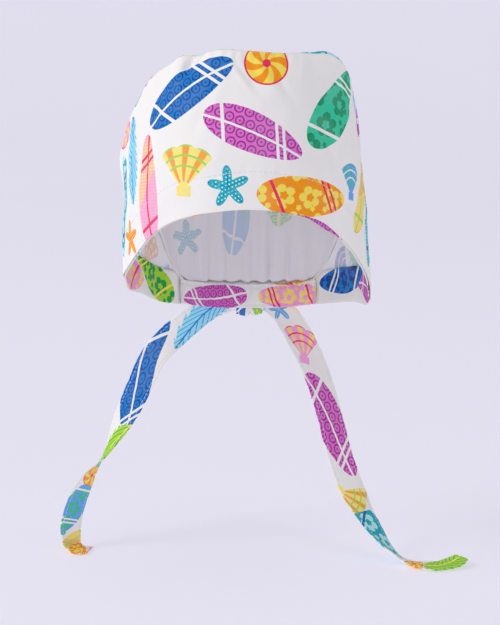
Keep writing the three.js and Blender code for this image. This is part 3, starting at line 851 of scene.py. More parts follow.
OUTER_COTTON = printed_cotton("printed_cotton")
INNER_COTTON = printed_cotton("printed_cotton_inner_side", INNER_PALENESS)
THREAD = plain_thread("stitching_thread", THREAD_TONE)
print("finishes:", [m.name for m in (OUTER_COTTON, INNER_COTTON, THREAD)])

# %% [markdown]
# The front band is one strip, from one end of the nape's casing round the front to the
# other, cut straight at the hem and curved along the top. It could be a lofted surface, but
# a grid moved to the cap's surface keeps its threads upright, as the cut of the real strip
# does. Its hem folds under and its upper edge turns in at the seam.

# %% Making and finishing a piece of cloth
ROOT_BODY = "root"
CLOTH_WALL = 0.8


def to_data(mesh, name):
    """Turns a bmesh into mesh data and frees it."""
    data = bpy.data.meshes.new(name)
    mesh.to_mesh(data)
    mesh.free()
    return data


def to_object(name, data):
    """A new object in the scene, at the origin."""
    made = bpy.data.objects.new(name, data)
    bpy.context.scene.collection.objects.link(made)
    return made


def seam_way(angle):
    """The way in between the two panels at the top seam."""
    seam = cap_point(angle, 1.0)
    round_it = cap_point(angle + 0.5, 1.0) - cap_point(angle - 0.5, 1.0)
    up_band, up_top = seam - cap_point(angle, 0.94), cap_point(angle, 1.03) - seam
    normals = unit(np.cross(round_it, up_band)) + unit(np.cross(round_it, up_top))
    return -unit(normals)


def finish_cloth(name, mesh, materials, node=None, wall=CLOTH_WALL):
    """Turns a bmesh into a named piece with a wall, riding where the solid was."""
    data = to_data(mesh, name)
    data.shade_smooth()
    piece = to_object(name, data)
    for material in materials:
        data.materials.append(material)
    if wall:
        thick = piece.modifiers.new("wall", "SOLIDIFY")
        thick.thickness = wall * MM
        thick.offset = -1
        thick.material_offset = len(materials) - 1
        thick.use_rim = True
    if node:
        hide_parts(node)
    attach(piece, ROOT_BODY)
    print(name, "has", len(data.polygons), "faces")
    return piece


# %% The print on the band
# The columns of each print on the cap: kind, inks, half length in mm, angle, level and turn.
BAND_PRINT = [
    ("dotted board", "cobalt", 35, -27, 0.79, 22),
    ("dotted board", "magenta", 33, 2, 0.49, -22),
    ("blossom board", "orange", 32, 22, 0.12, 7),
    ("blossom board", "green", 35, 41, 0.73, 58),
    ("shell", "lemon", 20, -24, 0.29, 75),
    ("star", "teal", 15, -7, 0.15, 20),
    ("checked board", "rose", 35, -44, 0.29, 68),
    ("ball", "orange", 16, 8, 0.93, 0),
    ("shell", "sky", 15, 48, 0.37, 108),
    ("leaf", "aqua", 30, -64, 0.62, 80),
    ("checked board", "lemon", 33, 66, 0.42, 74),
    ("star", "aqua", 11, 69, 0.97, 0),
    ("star", "orange", 14, -60, 0.13, 0),
    ("blossom board", "teal", 33, -80, 0.44, 72),
    ("ball", "rose", 13, -84, 0.95, 0),
    ("dotted board", "lime", 31, -99, 0.42, 96),
    ("leaf", "magenta", 26, -117, 0.60, 80),
    ("shell", "orange", 15, -127, 0.50, 90),
    ("star", "sky", 12, -140, 0.45, 0),
    ("dotted board", "teal", 34, 82, 0.42, 96),
    ("ball", "magenta", 13, 80, 0.97, 0),
    ("blossom board", "rose", 31, 102, 0.50, 80),
    ("leaf", "green", 27, 118, 0.48, 96),
    ("shell", "cobalt", 14, 131, 0.52, 80),
    ("star", "lemon", 12, 143, 0.45, 0),
]
print("motifs on the band:", len(BAND_PRINT))

# %% The front band
BAND_GRID = (300, 62)
PANEL_END = 149.0
# What a turn of one radian measures along the cloth.
CLOTH_RADIUS = 88
SEAM_ALLOWANCE = 4.0
SEAM_FOLD = 0.55
HEM_ALLOWANCE = 1.3
HEM_FOLD = 0.5
# The allowance gets shorter between these two angles, down to the share that is cut away.
TRIM_FROM, TRIM_FULL = 136, 147
TRIMMED = 0.75


def band_at(u, v):
    """Angle and level for the shares of the grid, with closer rows at the hem and the seam."""
    return PANEL_END * (2 * u - 1), v - 0.5 * np.sin(2 * math.pi * v) / (2 * math.pi)


def band_threads(u, v):
    angle, level = band_at(u, v)
    return np.stack([np.radians(angle) * CLOTH_RADIUS, level * band_height(angle)], axis=-1)


def angles_of(corners):
    return np.array([math.degrees(math.atan2(v.co.x, -v.co.y)) for v in corners])


def into_seam(corners):
    """The way in at the seam, shorter towards the band's ends, where it is cut away."""
    angle = angles_of(corners)
    cut = TRIMMED * smoothstep(np.abs(angle), TRIM_FROM, TRIM_FULL)
    return seam_way(angle) * (1 - cut)[:, None]


def under_hem(corners):
    return [-v.normal for v in corners]


band = cloth_grid(*BAND_GRID, lambda u, v: bare_point(*band_at(u, v)), band_threads)
inked = lay_print(band, BAND_PRINT, on_cap(band))
drape(band, lambda u, v: cloth_point(*band_at(u, v)))
turn_in(band, rim(band, "upward", 1.0), into_seam, SEAM_ALLOWANCE, SEAM_FOLD)
band.normal_update()
turn_in(band, rim(band, "upward", 0.0), under_hem, HEM_ALLOWANCE, HEM_FOLD)
front_band = finish_cloth("front_band", band, [OUTER_COTTON, INNER_COTTON], "crown_band")
print("faces with a motif:", inked)

# %% [markdown]
# The top is one piece from the front seam over the crown down to the nape. Real ones are cut
# as a long oval and eased into the band, so the cloth stands up a little behind the seam
# and gathers at the back. A grid bent round into a ring and closed at the apex follows that
# cut. Its rows crowd together near the seam, where the folds are small.

# %% The print on the top
TOP_PRINT = [
    ("dotted board", "magenta", 29, -46, 1.44, 40),
    ("leaf", "lime", 28, -16, 1.11, 0),
    ("blossom board", "teal", 30, 39, 1.17, -16),
    ("star", "orange", 11, 67, 1.02, 0),
    ("checked board", "lemon", 25, 85, 1.54, 62),
    ("leaf", "aqua", 24, 85, 1.11, 76),
    ("dotted board", "cobalt", 29, 113, 1.42, 84),
    ("blossom board", "orange", 30, 122, 1.10, 86),
    ("shell", "magenta", 17, 146, 1.18, 90),
    ("leaf", "green", 27, 149, 1.53, 76),
    ("dotted board", "lime", 34, 167, 1.30, 88),
    ("ball", "orange", 15, 178, 1.60, 0),
    ("checked board", "sky", 33, -175, 1.20, 94),
    ("blossom board", "magenta", 34, -159, 1.38, 84),
    ("star", "teal", 15, -153, 1.12, 0),
    ("leaf", "cobalt", 26, -134, 1.20, 100),
    ("shell", "orange", 17, -145, 1.62, 80),
    ("dotted board", "green", 33, -119, 1.22, 98),
    ("blossom board", "lemon", 31, -97, 1.26, 108),
    ("leaf", "teal", 26, -77, 1.36, 112),
    ("star", "aqua", 13, 0, 1.88, 10),
    ("checked board", "rose", 24, -106, 1.72, 100),
    ("blossom board", "orange", 28, 12, 1.58, 4),
    ("dotted board", "cobalt", 27, 166, 1.84, 50),
    ("star", "sky", 13, 124, 1.79, 0),
    ("shell", "teal", 17, -62, 1.76, 30),
]
print("motifs on the top:", len(TOP_PRINT))

# %% The puffed top
TOP_GRID = (340, 92)
TOP_MERGE = 0.002
ROW_CROWDING = 1.25
# Between these angles the top's allowance turns from the seam down into the casing.
CASING_FROM, CASING_FULL = 147, 150
CASING_SLANT = 0.5


def top_at(u, v):
    """Angle and level for the shares of the grid, with closer rows near the seam."""
    return 360 * u - 180, 1 + v**ROW_CROWDING


def meridian(angle):
    """How long the cloth is from the seam to the apex."""
    levels = np.linspace(1, 2, 17)
    points = [bare_point(angle, np.full(len(angle), level)) for level in levels]
    return sum(np.linalg.norm(b - a, axis=-1) for a, b in zip(points, points[1:]))


def top_threads(u, v):
    angle, level = top_at(u, v)
    return outward_of(angle)[..., :2] * ((2 - level) * meridian(angle))[..., None]


def into_seam_or_casing(corners):
    """Inwards at the band; down into the casing at the nape, where the gathers are caught."""
    angle = angles_of(corners)
    share = smoothstep(np.abs(angle), CASING_FROM, CASING_FULL)[:, None]
    down = unit(np.array([0, 0, -1.0]) - CASING_SLANT * outward_of(angle))
    return into_seam(corners) * (1 - share) + down * share


# The grid's sides meet behind and its last row closes at the apex, so both are merged.
top = cloth_grid(*TOP_GRID, lambda u, v: bare_point(*top_at(u, v)), top_threads)
bmesh.ops.remove_doubles(top, verts=top.verts, dist=TOP_MERGE * MM)
inked = lay_print(top, TOP_PRINT, on_cap(top))
drape(top, lambda u, v: cloth_point(*top_at(u, v)))
turn_in(top, rim(top, "upward", 0.0), into_seam_or_casing, SEAM_ALLOWANCE, SEAM_FOLD)
puffed_top = finish_cloth("puffed_top", top, [OUTER_COTTON, INNER_COTTON], "crown_top")
print("faces with a motif:", inked)

# %% [markdown]
# Inside the hem the band is lined with a narrow facing, turned in and stitched. Only its
# fold peeks out below the hem in a few places, so it is one low strip just inside the
# band, dropped where it shows.

# %% The facing inside the hem
FACING_GRID = (280, 12)
FACING_TOP = STITCH_HEIGHT + 1.5
FACING_END = PANEL_END - 2
FACING_INSET = 1.35
FACING_WALL = 0.7
# How far the facing hangs below the hem, and how much of a low band it may take up.
FACING_DROP = 0.3
FACING_SHARE = 0.88
# Where it hangs lower: rows of angle, spread and depth in mm.
PEEKS = [(30, 6, 2.6), (-101, 14, 6.0), (96, 14, 1.5)]
FACING_PRINT = [
    ("dotted board", "magenta", 34, 29, 0.03, 6),
    ("blossom board", "rose", 32, -100, 0.10, 4),
    ("dotted board", "magenta", 30, 96, 0.10, 20),
    ("leaf", "green", 28, -60, 0.12, 0),
    ("shell", "orange", 17, -20, 0.12, 90),
    ("leaf", "teal", 26, 62, 0.12, 0),
    ("blossom board", "cobalt", 30, 128, 0.3, 10),
    ("blossom board", "lime", 30, -130, 0.3, 10),
]


def facing_level(angle, v):
    peeks = sum(deep * bump(turn_between(angle, at), spread) for at, spread, deep in PEEKS)
    drop, tall = FACING_DROP + peeks, band_height(angle)
    return (-drop + (np.minimum(FACING_TOP, FACING_SHARE * tall) + drop) * v) / tall


def facing_place(u, v):
    angle = FACING_END * (2 * u - 1)
    level = facing_level(angle, v)
    point = cap_point(angle, level)
    east = cap_point(angle + 0.5, level) - cap_point(angle - 0.5, level)
    north = cap_point(angle, level + 0.01) - cap_point(angle, level - 0.01)
    return point - unit(np.cross(east, north)) * FACING_INSET


def facing_threads(u, v):
    around = np.radians(PANEL_END * (2 * u - 1)) * CLOTH_RADIUS
    return np.stack([around, v * FACING_TOP], axis=-1)


facing = cloth_grid(*FACING_GRID, facing_place, facing_threads)
inked = lay_print(facing, FACING_PRINT, on_cap(facing))
both_sides = [OUTER_COTTON, OUTER_COTTON]
hem_facing = finish_cloth("hem_facing_strip", facing, both_sides, "hem_facing", FACING_WALL)
print("faces with a motif:", inked)

# %% [markdown]
# Round the nape the cloth is gathered into a casing, a narrow tube that the ties run
# through. It is a flat strip folded over and stitched, so its section is a thin oval,
# pinched at both edges and rippled by the gathers. The grid is wrapped round that oval and
# closed by merging the edges that meet.

# %% The nape casing
CASING_GRID = (150, 36)
CASING_END = 148.4
CASING_TALL = 18.2
CASING_THICK = 3.0
CASING_SINK = 1.6
CASING_WAVE = 0.6
# Small waves round the nape: rows of length in degrees, height in mm and phase.
CASING_RIPPLES = [(3.1, 0.42, 0.4), (1.7, 0.20, 2.1), (5.3, 0.35, 1.2)]
CASING_STITCH_UP = CASING_TALL / 2 - 2.6
CASING_HALF = CASING_TALL / 2 - 0.2
# Powers below one make the oval fuller: upwards by the first, in thickness by the second.
CASING_SQUARE, CASING_FULLNESS = 0.75, 0.6
CASING_PINCH = 0.55
CLOTH_PER_DEGREE = 1.62
TUBE_MERGE = 0.01


def ripple_of(angle):
    waves = (
        high * np.sin(angle * 2 * math.pi / long + phase)
        for long, high, phase in CASING_RIPPLES
    )
    return sum(waves)


def powered(wave, power):
    """A sine or cosine made fuller by a power, with its sign kept."""
    return np.sign(wave) * np.abs(wave) ** power


def casing_angle(u):
    return CASING_END + (360 - 2 * CASING_END) * u


def casing_place(u, v):
    angle = casing_angle(u)
    middle = plan_point(angle, 0.5, column("hem_z", angle) + CASING_TALL / 2)
    turn = 2 * math.pi * (v - 0.25)
    up = powered(np.sin(turn), CASING_SQUARE) * (CASING_HALF + 0.12 * ripple_of(angle))
    pinch = 1 - CASING_PINCH * bump(np.abs(up) - CASING_STITCH_UP, 0.7)
    bulge = powered(np.cos(turn), CASING_FULLNESS) * CASING_THICK / 2 * pinch
    wave = fold_height(angle, np.ones(len(angle))) * CASING_WAVE - CASING_SINK
    wave += ripple_of(angle + 1.5 * np.sin(up / 4)) * (0.5 + 0.5 * np.abs(up) / 9)
    point = middle + outward_of(angle) * (bulge + wave)[..., None]
    point[..., 2] += up
    return point


def folded_across(v, tall):
    """The flat measure across a strip folded in two: up the outer side, down the inner."""
    rise = tall / 2 * (1 - np.cos(2 * math.pi * v))
    return np.where(v < 0.5, rise, 2 * tall - rise)


def casing_threads(u, v):
    around = (360 - 2 * CASING_END) * u * CLOTH_PER_DEGREE
    return np.stack([around, folded_across(v, CASING_TALL)], axis=-1)


def close_tube(mesh):
    """Merges the grid's meeting edges, caps the open ends and turns the faces outwards."""
    bmesh.ops.remove_doubles(mesh, verts=mesh.verts, dist=TUBE_MERGE * MM)
    ends = [e for e in mesh.edges if e.is_boundary]
    bmesh.ops.holes_fill(mesh, edges=ends, sides=0)
    bmesh.ops.triangulate(mesh, faces=[f for f in mesh.faces if len(f.verts) > 4])
    bmesh.ops.recalc_face_normals(mesh, faces=mesh.faces)


# The columns of a print on a strip: kind, inks, half length, along, across and turn.
CASING_PRINT = [
    ("blossom board", "orange", 24, 13, 11, 10),
    ("star", "teal", 9, 47, 7, 0),
    ("dotted board", "cobalt", 23, 80, 8, -8),
    ("blossom board", "rose", 24, 20, 29, -5),
    ("dotted board", "magenta", 24, 76, 29, 6),
]
casing = cloth_grid(*CASING_GRID, casing_place, casing_threads)
close_tube(casing)
inked = lay_print(casing, CASING_PRINT, on_strip(casing))
nape_casing = finish_cloth("nape_casing", casing, [OUTER_COTTON], "back_binding", wall=0)
print("faces with a motif:", inked)

# %% [markdown]
# A tie is a strip of the same cotton, folded lengthwise, pressed flat and stitched along
# both edges. It hangs from the knot, twists on the way down and lies on the floor at its
# end. Simulated ribbons rarely fall the way one wants, so each tie follows a table of its
# middle line. Each row also gives the way its width runs there, which is what makes a
# ribbon twist.

# %% The tables of the ties
# Columns: the middle line's x, y and z in mm, the way its width runs, and the width in mm.
TIE_LEFT = np.array([
    (-11.95, 103.5, -87, 0, 0.1, -1, 11),
    (-16, 103.8, -87.2, 0, 0.1, -1, 13),
    (-32, 103, -92, 0.1, -0.1, -1, 18),
    (-52, 98, -107, 0.4, -0.2, -0.9, 20),
    (-69, 91, -124, 0.7, -0.35, -0.55, 20),
    (-79.5, 85.5, -146, 0.86, -0.45, -0.35, 20),
    (-87.5, 82, -162.4, 0.75, -0.6, -0.3, 20),
    (-94.6, 78, -176.4, 0.55, -0.8, -0.2, 19),
    (-103.4, 73, -192.5, 0.12, -1, 0, 16),
    (-108.2, 71, -198.5, -0.2, -1, 0.1, 16),
    (-114.6, 68, -207, -0.42, -0.88, 0.2, 18),
    (-119.6, 65, -216.4, -0.52, -0.82, 0.2, 20),
    (-123.7, 61.5, -226.4, -0.6, -0.78, 0.1, 20),
    (-126.2, 57.5, -236, -0.62, -0.78, 0, 20),
    (-127.2, 53.5, -244.5, -0.58, -0.8, 0, 20),
    (-126, 49.5, -251.5, -0.45, -0.88, 0, 20),
    (-122.4, 46.5, -254.9, -0.3, -0.95, 0, 20),
    (-117.4, 44.5, -255.4, -0.2, -1, 0, 20),
    (-112.6, 43.5, -255.4, -0.1, -1, 0, 17),
])
TIE_RIGHT = np.array([
    (11.95, 103.5, -87, 0, 0.1, 1, 11),
    (16, 103.8, -87.4, 0.05, 0.1, 1, 13),
    (27.5, 102, -95, 0.35, 0.2, 0.9, 18),
    (39, 95, -113, 0.7, 0.3, 0.6, 20),
    (48.5, 86, -132, 0.82, 0.42, 0.4, 20),
    (54.8, 77.5, -150, 0.85, 0.48, 0.3, 20),
    (59.6, 70, -167, 0.86, 0.5, 0.2, 20),
    (64.1, 62.5, -185, 0.86, 0.5, 0.25, 20),
    (69.6, 55, -201.8, 0.82, 0.52, 0.3, 20),
    (75.7, 47.5, -215.4, 0.7, 0.65, 0.3, 20),
    (82, 40, -226.6, 0.55, 0.8, 0.22, 19),
    (89, 32.5, -236.6, 0.42, 0.88, 0.12, 18),
    (97.1, 24.5, -246.4, 0.3, 0.93, -0.08, 16),
    (104.5, 17.5, -252, 0.15, 0.98, -0.2, 15),
    (111.8, 12, -254.2, 0.1, 0.99, -0.12, 17),
    (119.5, 8, -255.2, 0.05, 1, -0.02, 20),
    (127.5, 6.5, -255.4, 0, 1, 0, 20),
    (135.5, 8, -255.1, -0.1, 1, 0, 20),
    (142.5, 11.5, -253.9, -0.25, 1, 0.04, 20),
    (148.6, 15.6, -251.6, -0.3, 1, 0.08, 13),
])
print("rows of the ties:", len(TIE_LEFT), len(TIE_RIGHT))

# %% Reading a ribbon from its table
RIBBON_STEP = 1e-3


def through_rows(table, share, closed=False):
    """A smooth curve through the rows of a table, at shares from 0 to 1 of its rows."""
    count = len(table)
    place = share * (count if closed else count - 1)
    here = np.minimum(place.astype(int), count - 1 if closed else count - 2)
    t = (place - here)[:, None]

    def row(step):
        index = here + step
        return table[index % count] if closed else table[np.clip(index, 0, count - 1)]

    a, b, c, d = (row(step) for step in (-1, 0, 1, 2))
    curve = 2 * b + (c - a) * t + (2 * a - 5 * b + 4 * c - d) * t**2
    return 0.5 * (curve + (3 * b - a - 3 * c + d) * t**3)


def ribbon_frame(table, share, closed=False):
    """Middle, width direction, thickness direction and width of a ribbon."""
    row = through_rows(table, share, closed)
    ahead, behind = share + RIBBON_STEP, share - RIBBON_STEP
    if closed:
        ahead, behind = ahead % 1, behind % 1
    else:
        ahead, behind = np.minimum(ahead, 1), np.maximum(behind, 0)
    after, before = (through_rows(table, at, closed)[:, :3] for at in (ahead, behind))
    along = unit(after - before)
    way = row[:, 3:6]
    across = unit(way - along * (way * along).sum(1, keepdims=True))
    return row[:, :3], across, np.cross(along, across), row[:, 6]


def ribbon_length(table, closed=False):
    middle = ribbon_frame(table, np.linspace(0, 1, 400, endpoint=not closed), closed)[0]
    return float(np.linalg.norm(np.diff(middle, axis=0), axis=1).sum())


print("ties in mm:", round(ribbon_length(TIE_LEFT)), round(ribbon_length(TIE_RIGHT)))

# %% The folded section of a tie
TIE_FLAT_WIDE = 20
TIE_THICK = 1.5
TIE_ROUND = 40
TIE_STEP = 1.25
TIE_STITCH_IN = 2.3
# The stitches press a groove this share of the thickness deep and this wide in mm.
GROOVE, GROOVE_WIDTH = 0.42, 0.75
# The higher this power, the flatter the ribbon between its two edges.
FLATNESS = 9
# Slow waves and small creases: size in mm; the slow ones' height is the ripple below.
RIPPLE_SIZE, CREASE_SIZE, CREASE_HEIGHT = 14, 5, 0.12
# A tie's rough length in mm, which tells how far off its end a share of it is.
ROUGH_LENGTH = 240


def ribbon_place(table, thick, closed=False, seed=3, ripple=0.5):
    """The place of each corner of a ribbon: v runs up one side and down the other."""
    def place(u, v):
        middle, across, through, wide = ribbon_frame(table, u, closed)
        side = np.where(v < 0.5, 1.0, -1.0)
        half = np.where(v < 0.5, v * 2, 2 - v * 2)
        over = -np.cos(math.pi * half)
        edge = wide / 2 * (1 - np.abs(over))
        lips = np.sqrt(np.maximum(1 - np.abs(over) ** FLATNESS, 0))
        groove = 1 - GROOVE * bump(edge - TIE_STITCH_IN, GROOVE_WIDTH)
        end = 1 if closed else smoothstep(np.minimum(u, 1 - u) * ROUGH_LENGTH, -1.0, 3.0)
        flat = middle + across * (over * wide / 2)[:, None]
        wobble = crumple(flat, RIPPLE_SIZE, seed)
        creases = crumple(flat, CREASE_SIZE, seed + 1)
        lift = side * thick / 2 * lips * groove * end
        lift = lift + ripple * wobble + CREASE_HEIGHT * creases
        fray = 1 + 0.012 * np.sin(u * 170 + seed) + 0.01 * np.sin(u * 410)
        return middle + across * (over * wide / 2 * fray)[:, None] + through * lift[:, None]
    return place


def ribbon_threads(table, closed=False):
    """A strip 40 mm wide folded in two, as long as the ribbon's middle line."""
    length = ribbon_length(table, closed)
    return lambda u, v: np.stack([u * length, folded_across(v, TIE_FLAT_WIDE)], axis=-1)


print("steps along the ties:", [int(ribbon_length(t) / TIE_STEP) for t in (TIE_LEFT, TIE_RIGHT)])

# %% The two ties
LEFT_SEED, RIGHT_SEED = 3, 7


def make_tie(name, table, rows, node, seed):
    steps = int(ribbon_length(table) / TIE_STEP)
    place = ribbon_place(table, TIE_THICK, seed=seed)
    tie = cloth_grid(steps, TIE_ROUND, place, ribbon_threads(table))
    close_tube(tie)
    lay_print(tie, rows, on_strip(tie))
    piece = finish_cloth(name, tie, [OUTER_COTTON], node, wall=0)
    return piece


# The strips are 40 mm wide before they are folded: 0 to 20 is one side, 20 to 40 the other.
LEFT_PRINT = [
    ("leaf", "aqua", 24, 22, 10, 20), ("leaf", "aqua", 24, 26, 31, -20),
    ("dotted board", "cobalt", 30, 66, 8, 24), ("dotted board", "cobalt", 30, 60, 33, -20),
    ("leaf", "lime", 26, 104, 13, -20), ("leaf", "green", 26, 104, 28, 14),
    ("ball", "orange", 12, 134, 7, 0), ("ball", "orange", 12, 130, 32, 0),
    ("blossom board", "sky", 27, 164, 12, 22), ("blossom board", "sky", 27, 160, 29, -18),
    ("checked board", "lemon", 22, 192, 5, 60), ("checked board", "lemon", 22, 192, 33, -50),
    ("blossom board", "orange", 24, 216, 12, 12), ("blossom board", "orange", 24, 216, 28, -16),
    ("star", "rose", 10, 234, 4, 0), ("star", "rose", 10, 234, 35, 0),
]
RIGHT_PRINT = [
    ("star", "sky", 10, 22, 10, 0), ("blossom board", "rose", 25, 34, 30, 12),
    ("shell", "rose", 12, 44, 9, 150),
    ("dotted board", "magenta", 30, 86, 9, 14), ("dotted board", "magenta", 30, 88, 31, -12),
    ("shell", "lemon", 15, 128, 5, 40), ("shell", "lemon", 15, 128, 35, -40),
    ("blossom board", "teal", 34, 164, 12, 16), ("blossom board", "teal", 34, 166, 28, -12),
    ("ball", "orange", 11, 204, 5, 0), ("ball", "orange", 11, 206, 34, 0),
    ("leaf", "lime", 36, 246, 10, 4), ("leaf", "lime", 36, 246, 30, -4),
]
left_tie = make_tie("left_tie", TIE_LEFT, LEFT_PRINT, "tie_left", LEFT_SEED)
right_tie = make_tie("right_tie", TIE_RIGHT, RIGHT_PRINT, "tie_right", RIGHT_SEED)

# %% [markdown]
# The ties are knotted once behind the nape. What shows of such a knot is one turn of cloth
# laid slantwise over another, so it is built from the same ribbon: a pleated core along
# the knot and two closed rings wrapped round it, one over the other.

# %% The knot at the nape
KNOT_MIDDLE = np.array([0.0, 103.5, -87.0])
CORE_HALF_LONG = 11.8
CORE_HALF_DEEP = 3.9
CORE_HALF_TALL = 6.2
CORE_PRINT = [("leaf", "aqua", 16, 6, 10, 30), ("leaf", "aqua", 16, 18, 27, 30)]
CORE_GRID, RING_GRID = (40, 48), (72, 28)
RING_ROWS = 12
RING_TWIST = 0.25


def ring_table(slant, lean, deep, tall, wide, shift):
    """Rows of a closed ring round the knot, tilted by slant and leaning along it."""
    rows = []
    # The ring starts on its hidden side, next to the cap, so its joint doesn't show.
    for turn in np.linspace(math.pi, 3 * math.pi, RING_ROWS, endpoint=False):
        x = shift + slant * math.sin(turn) + lean * math.cos(turn)
        y, z = deep * math.cos(turn), tall * math.sin(turn)
        way = (1.0, RING_TWIST * math.sin(turn), -RING_TWIST * slant / 3)
        rows.append((*(KNOT_MIDDLE + (x, y, z)), *way, wide))
    return np.array(rows)


def pleated_core(u, v):
    """The bunched ties where they run through the knot, along x."""
    x = (u - 0.5) * 2 * CORE_HALF_LONG
    turn = 2 * math.pi * v
    outwards = np.abs(x / CORE_HALF_LONG)
    girth = 1 - 0.26 * outwards**3
    pleat = 1 + 0.09 * np.sin(turn * 5 + x * 0.12) + 0.05 * np.sin(turn * 9 + 1)
    y = CORE_HALF_DEEP * np.cos(turn) * girth * pleat
    z = (CORE_HALF_TALL - 0.5 * outwards) * np.sin(turn) * girth * pleat
    return KNOT_MIDDLE + np.stack([x, y, z], axis=-1)


def knot_threads(u, v):
    return np.stack([u * 24, v * 36], axis=-1)


core = cloth_grid(*CORE_GRID, pleated_core, knot_threads)
close_tube(core)
lay_print(core, CORE_PRINT, on_strip(core))
# Each wrap: its ring's sizes as ring_table takes them, its thickness, seed and motif.
WRAPS = [
    ((3.2, 0.8, 4.9, 7.6, 9.5, -1.5), 1.7, 11, ("dotted board", "cobalt", 27, 20, 9, 14)),
    ((-3.6, 0.6, 4.3, 7.2, 8.0, 3.0), 1.5, 12, ("leaf", "lime", 22, 17, 12, -10)),
]
for sizes, thick, seed, motif in WRAPS:
    ring = ring_table(*sizes)
    strip = ribbon_place(ring, thick, closed=True, seed=seed, ripple=0.2)
    wrap = cloth_grid(*RING_GRID, strip, ribbon_threads(ring, closed=True))
    bmesh.ops.remove_doubles(wrap, verts=wrap.verts, dist=TUBE_MERGE * MM)
    bmesh.ops.recalc_face_normals(wrap, faces=wrap.faces)
    lay_print(wrap, [motif], on_strip(wrap))
    ready = to_data(wrap, "wrap")
    core.from_mesh(ready)
    bpy.data.meshes.remove(ready)
nape_knot = finish_cloth("nape_knot", core, [OUTER_COTTON], "tie_knot", wall=0)

# %% [markdown]
# Stitches are real small shapes, because they catch the light and cast tiny shadows as
# thread does. Each is a short bead of thread, half sunk in the cloth. The hem line runs at
# an even height above the hem, and a line closes each end of the band. The casing has a
# line along each edge, and each tie has a line along both edges on both sides.

# %% Stitches
STITCH_PITCH = 3.1
STITCH_LONG = 2.35
STITCH_WIDE = 0.46
STITCH_LIFT = 0.06
SHORT_PITCH = 2.9
CASING_PITCH = 2.8


def stitch_shape():
    """One stitch in metres: a bead of thread along x, from a sphere with its poles turned."""
    bead = bmesh.new()
    poles_along_x = Matrix.Rotation(math.radians(90), 4, "Y")
    halves = (STITCH_LONG / 2, STITCH_WIDE / 2, STITCH_WIDE / 2.3)
    shaped = (Matrix.Diagonal((*halves, 1 / MM)) * MM) @ poles_along_x
    bmesh.ops.create_uvsphere(bead, u_segments=6, v_segments=5, radius=1, matrix=shaped)
    return to_data(bead, "stitch")


STITCH = stitch_shape()
print("one stitch has", len(STITCH.polygons), "faces")

# %% Lines of stitches
def stitch_line(mesh, points, normals, pitch=STITCH_PITCH):
    """Adds a stitch every pitch along a dense row of points, in millimetres."""
    gaps = np.linalg.norm(np.diff(points, axis=0), axis=1)
    walked = np.concatenate([[0], np.cumsum(gaps)])

    def value_at(distance, values):
        return np.array([np.interp(distance, walked, values[:, axis]) for axis in range(3)])

    count = int(walked[-1] / pitch)
    for number in range(count):
        at = (number + 0.5) * pitch
        start, end = value_at(at - 0.5, points), value_at(at + 0.5, points)
        along = Vector(end - start).normalized()
        normal = Vector(value_at(at, normals))
        normal = (normal - along * normal.dot(along)).normalized()
        across = normal.cross(along)
        turn = Matrix((along, across, normal)).transposed().to_4x4()
        middle = Vector((start + end) / 2)
        place = Matrix.Translation(middle * MM + normal * STITCH_LIFT * MM)
        STITCH.transform(place @ turn)
        mesh.from_mesh(STITCH)
        STITCH.transform((place @ turn).inverted())
    return count


def sew_on_cap(mesh, angles, levels, pitch=STITCH_PITCH):
    """A line of stitches on the cap's surface, at a row of angles and levels."""
    east = cloth_point(angles + 0.4, levels) - cloth_point(angles - 0.4, levels)
    north = cloth_point(angles, levels + 0.008) - cloth_point(angles, levels - 0.008)
    return stitch_line(mesh, cloth_point(angles, levels), unit(np.cross(east, north)), pitch)


hem_line = bmesh.new()
angles = np.linspace(-PANEL_END + 1, PANEL_END - 1, 900)
heights = STITCH_HEIGHT + 0.5 * np.sin(angles / 13) + 0.3 * np.sin(angles / 5 + 1)
# Near the casing the band is too low for the line, which then keeps 4 mm below the seam.
heights = np.minimum(heights, band_height(angles) - 4)
sewn = sew_on_cap(hem_line, angles, heights / band_height(angles))
for side in (-1, 1):
    angles, levels = np.full(60, side * (PANEL_END - 1.7)), np.linspace(0.05, 0.95, 60)
    sewn += sew_on_cap(hem_line, angles, levels, SHORT_PITCH)
hem_stitches = finish_cloth("hem_stitches", hem_line, [THREAD], wall=0)
print("hem stitches:", sewn)

# %% Stitches along the casing
casing_line = bmesh.new()
shares = np.linspace(0.02, 0.98, 500)
ways = outward_of(casing_angle(shares))
# Where the casing's section is as high as the stitches, as a share of the way round it.
section = math.asin((CASING_STITCH_UP / CASING_HALF) ** (1 / CASING_SQUARE)) / (2 * math.pi)
sewn = 0
for edge in (-1, 1):
    points = casing_place(shares, np.full(len(shares), 0.25 + edge * section))
    sewn += stitch_line(casing_line, points, ways, CASING_PITCH)
casing_stitches = finish_cloth("casing_stitches", casing_line, [THREAD], wall=0)
print("casing stitches:", sewn)

# %% Stitches along the ties
def tie_stitches(name, table, seed):
    """Lines of stitches along both edges of a tie, on both of its sides."""
    line, place = bmesh.new(), ribbon_place(table, TIE_THICK, seed=seed)
    wide_enough = np.linspace(0.09, 0.985, 700)
    _, _, through, wide = ribbon_frame(table, wide_enough)
    count = 0
    for edge in (-1, 1):
        over = edge * (1 - TIE_STITCH_IN / (wide / 2))
        half = np.arccos(-over) / math.pi
        for side in (1, -1):
            around = half / 2 if side > 0 else 1 - half / 2
            count += stitch_line(line, place(wide_enough, around), through * side, SHORT_PITCH)
    print(name, "has", count, "stitches")
    return finish_cloth(name, line, [THREAD], wall=0)


left_stitches = tie_stitches("left_tie_stitches", TIE_LEFT, LEFT_SEED)
right_stitches = tie_stitches("right_tie_stitches", TIE_RIGHT, RIGHT_SEED)
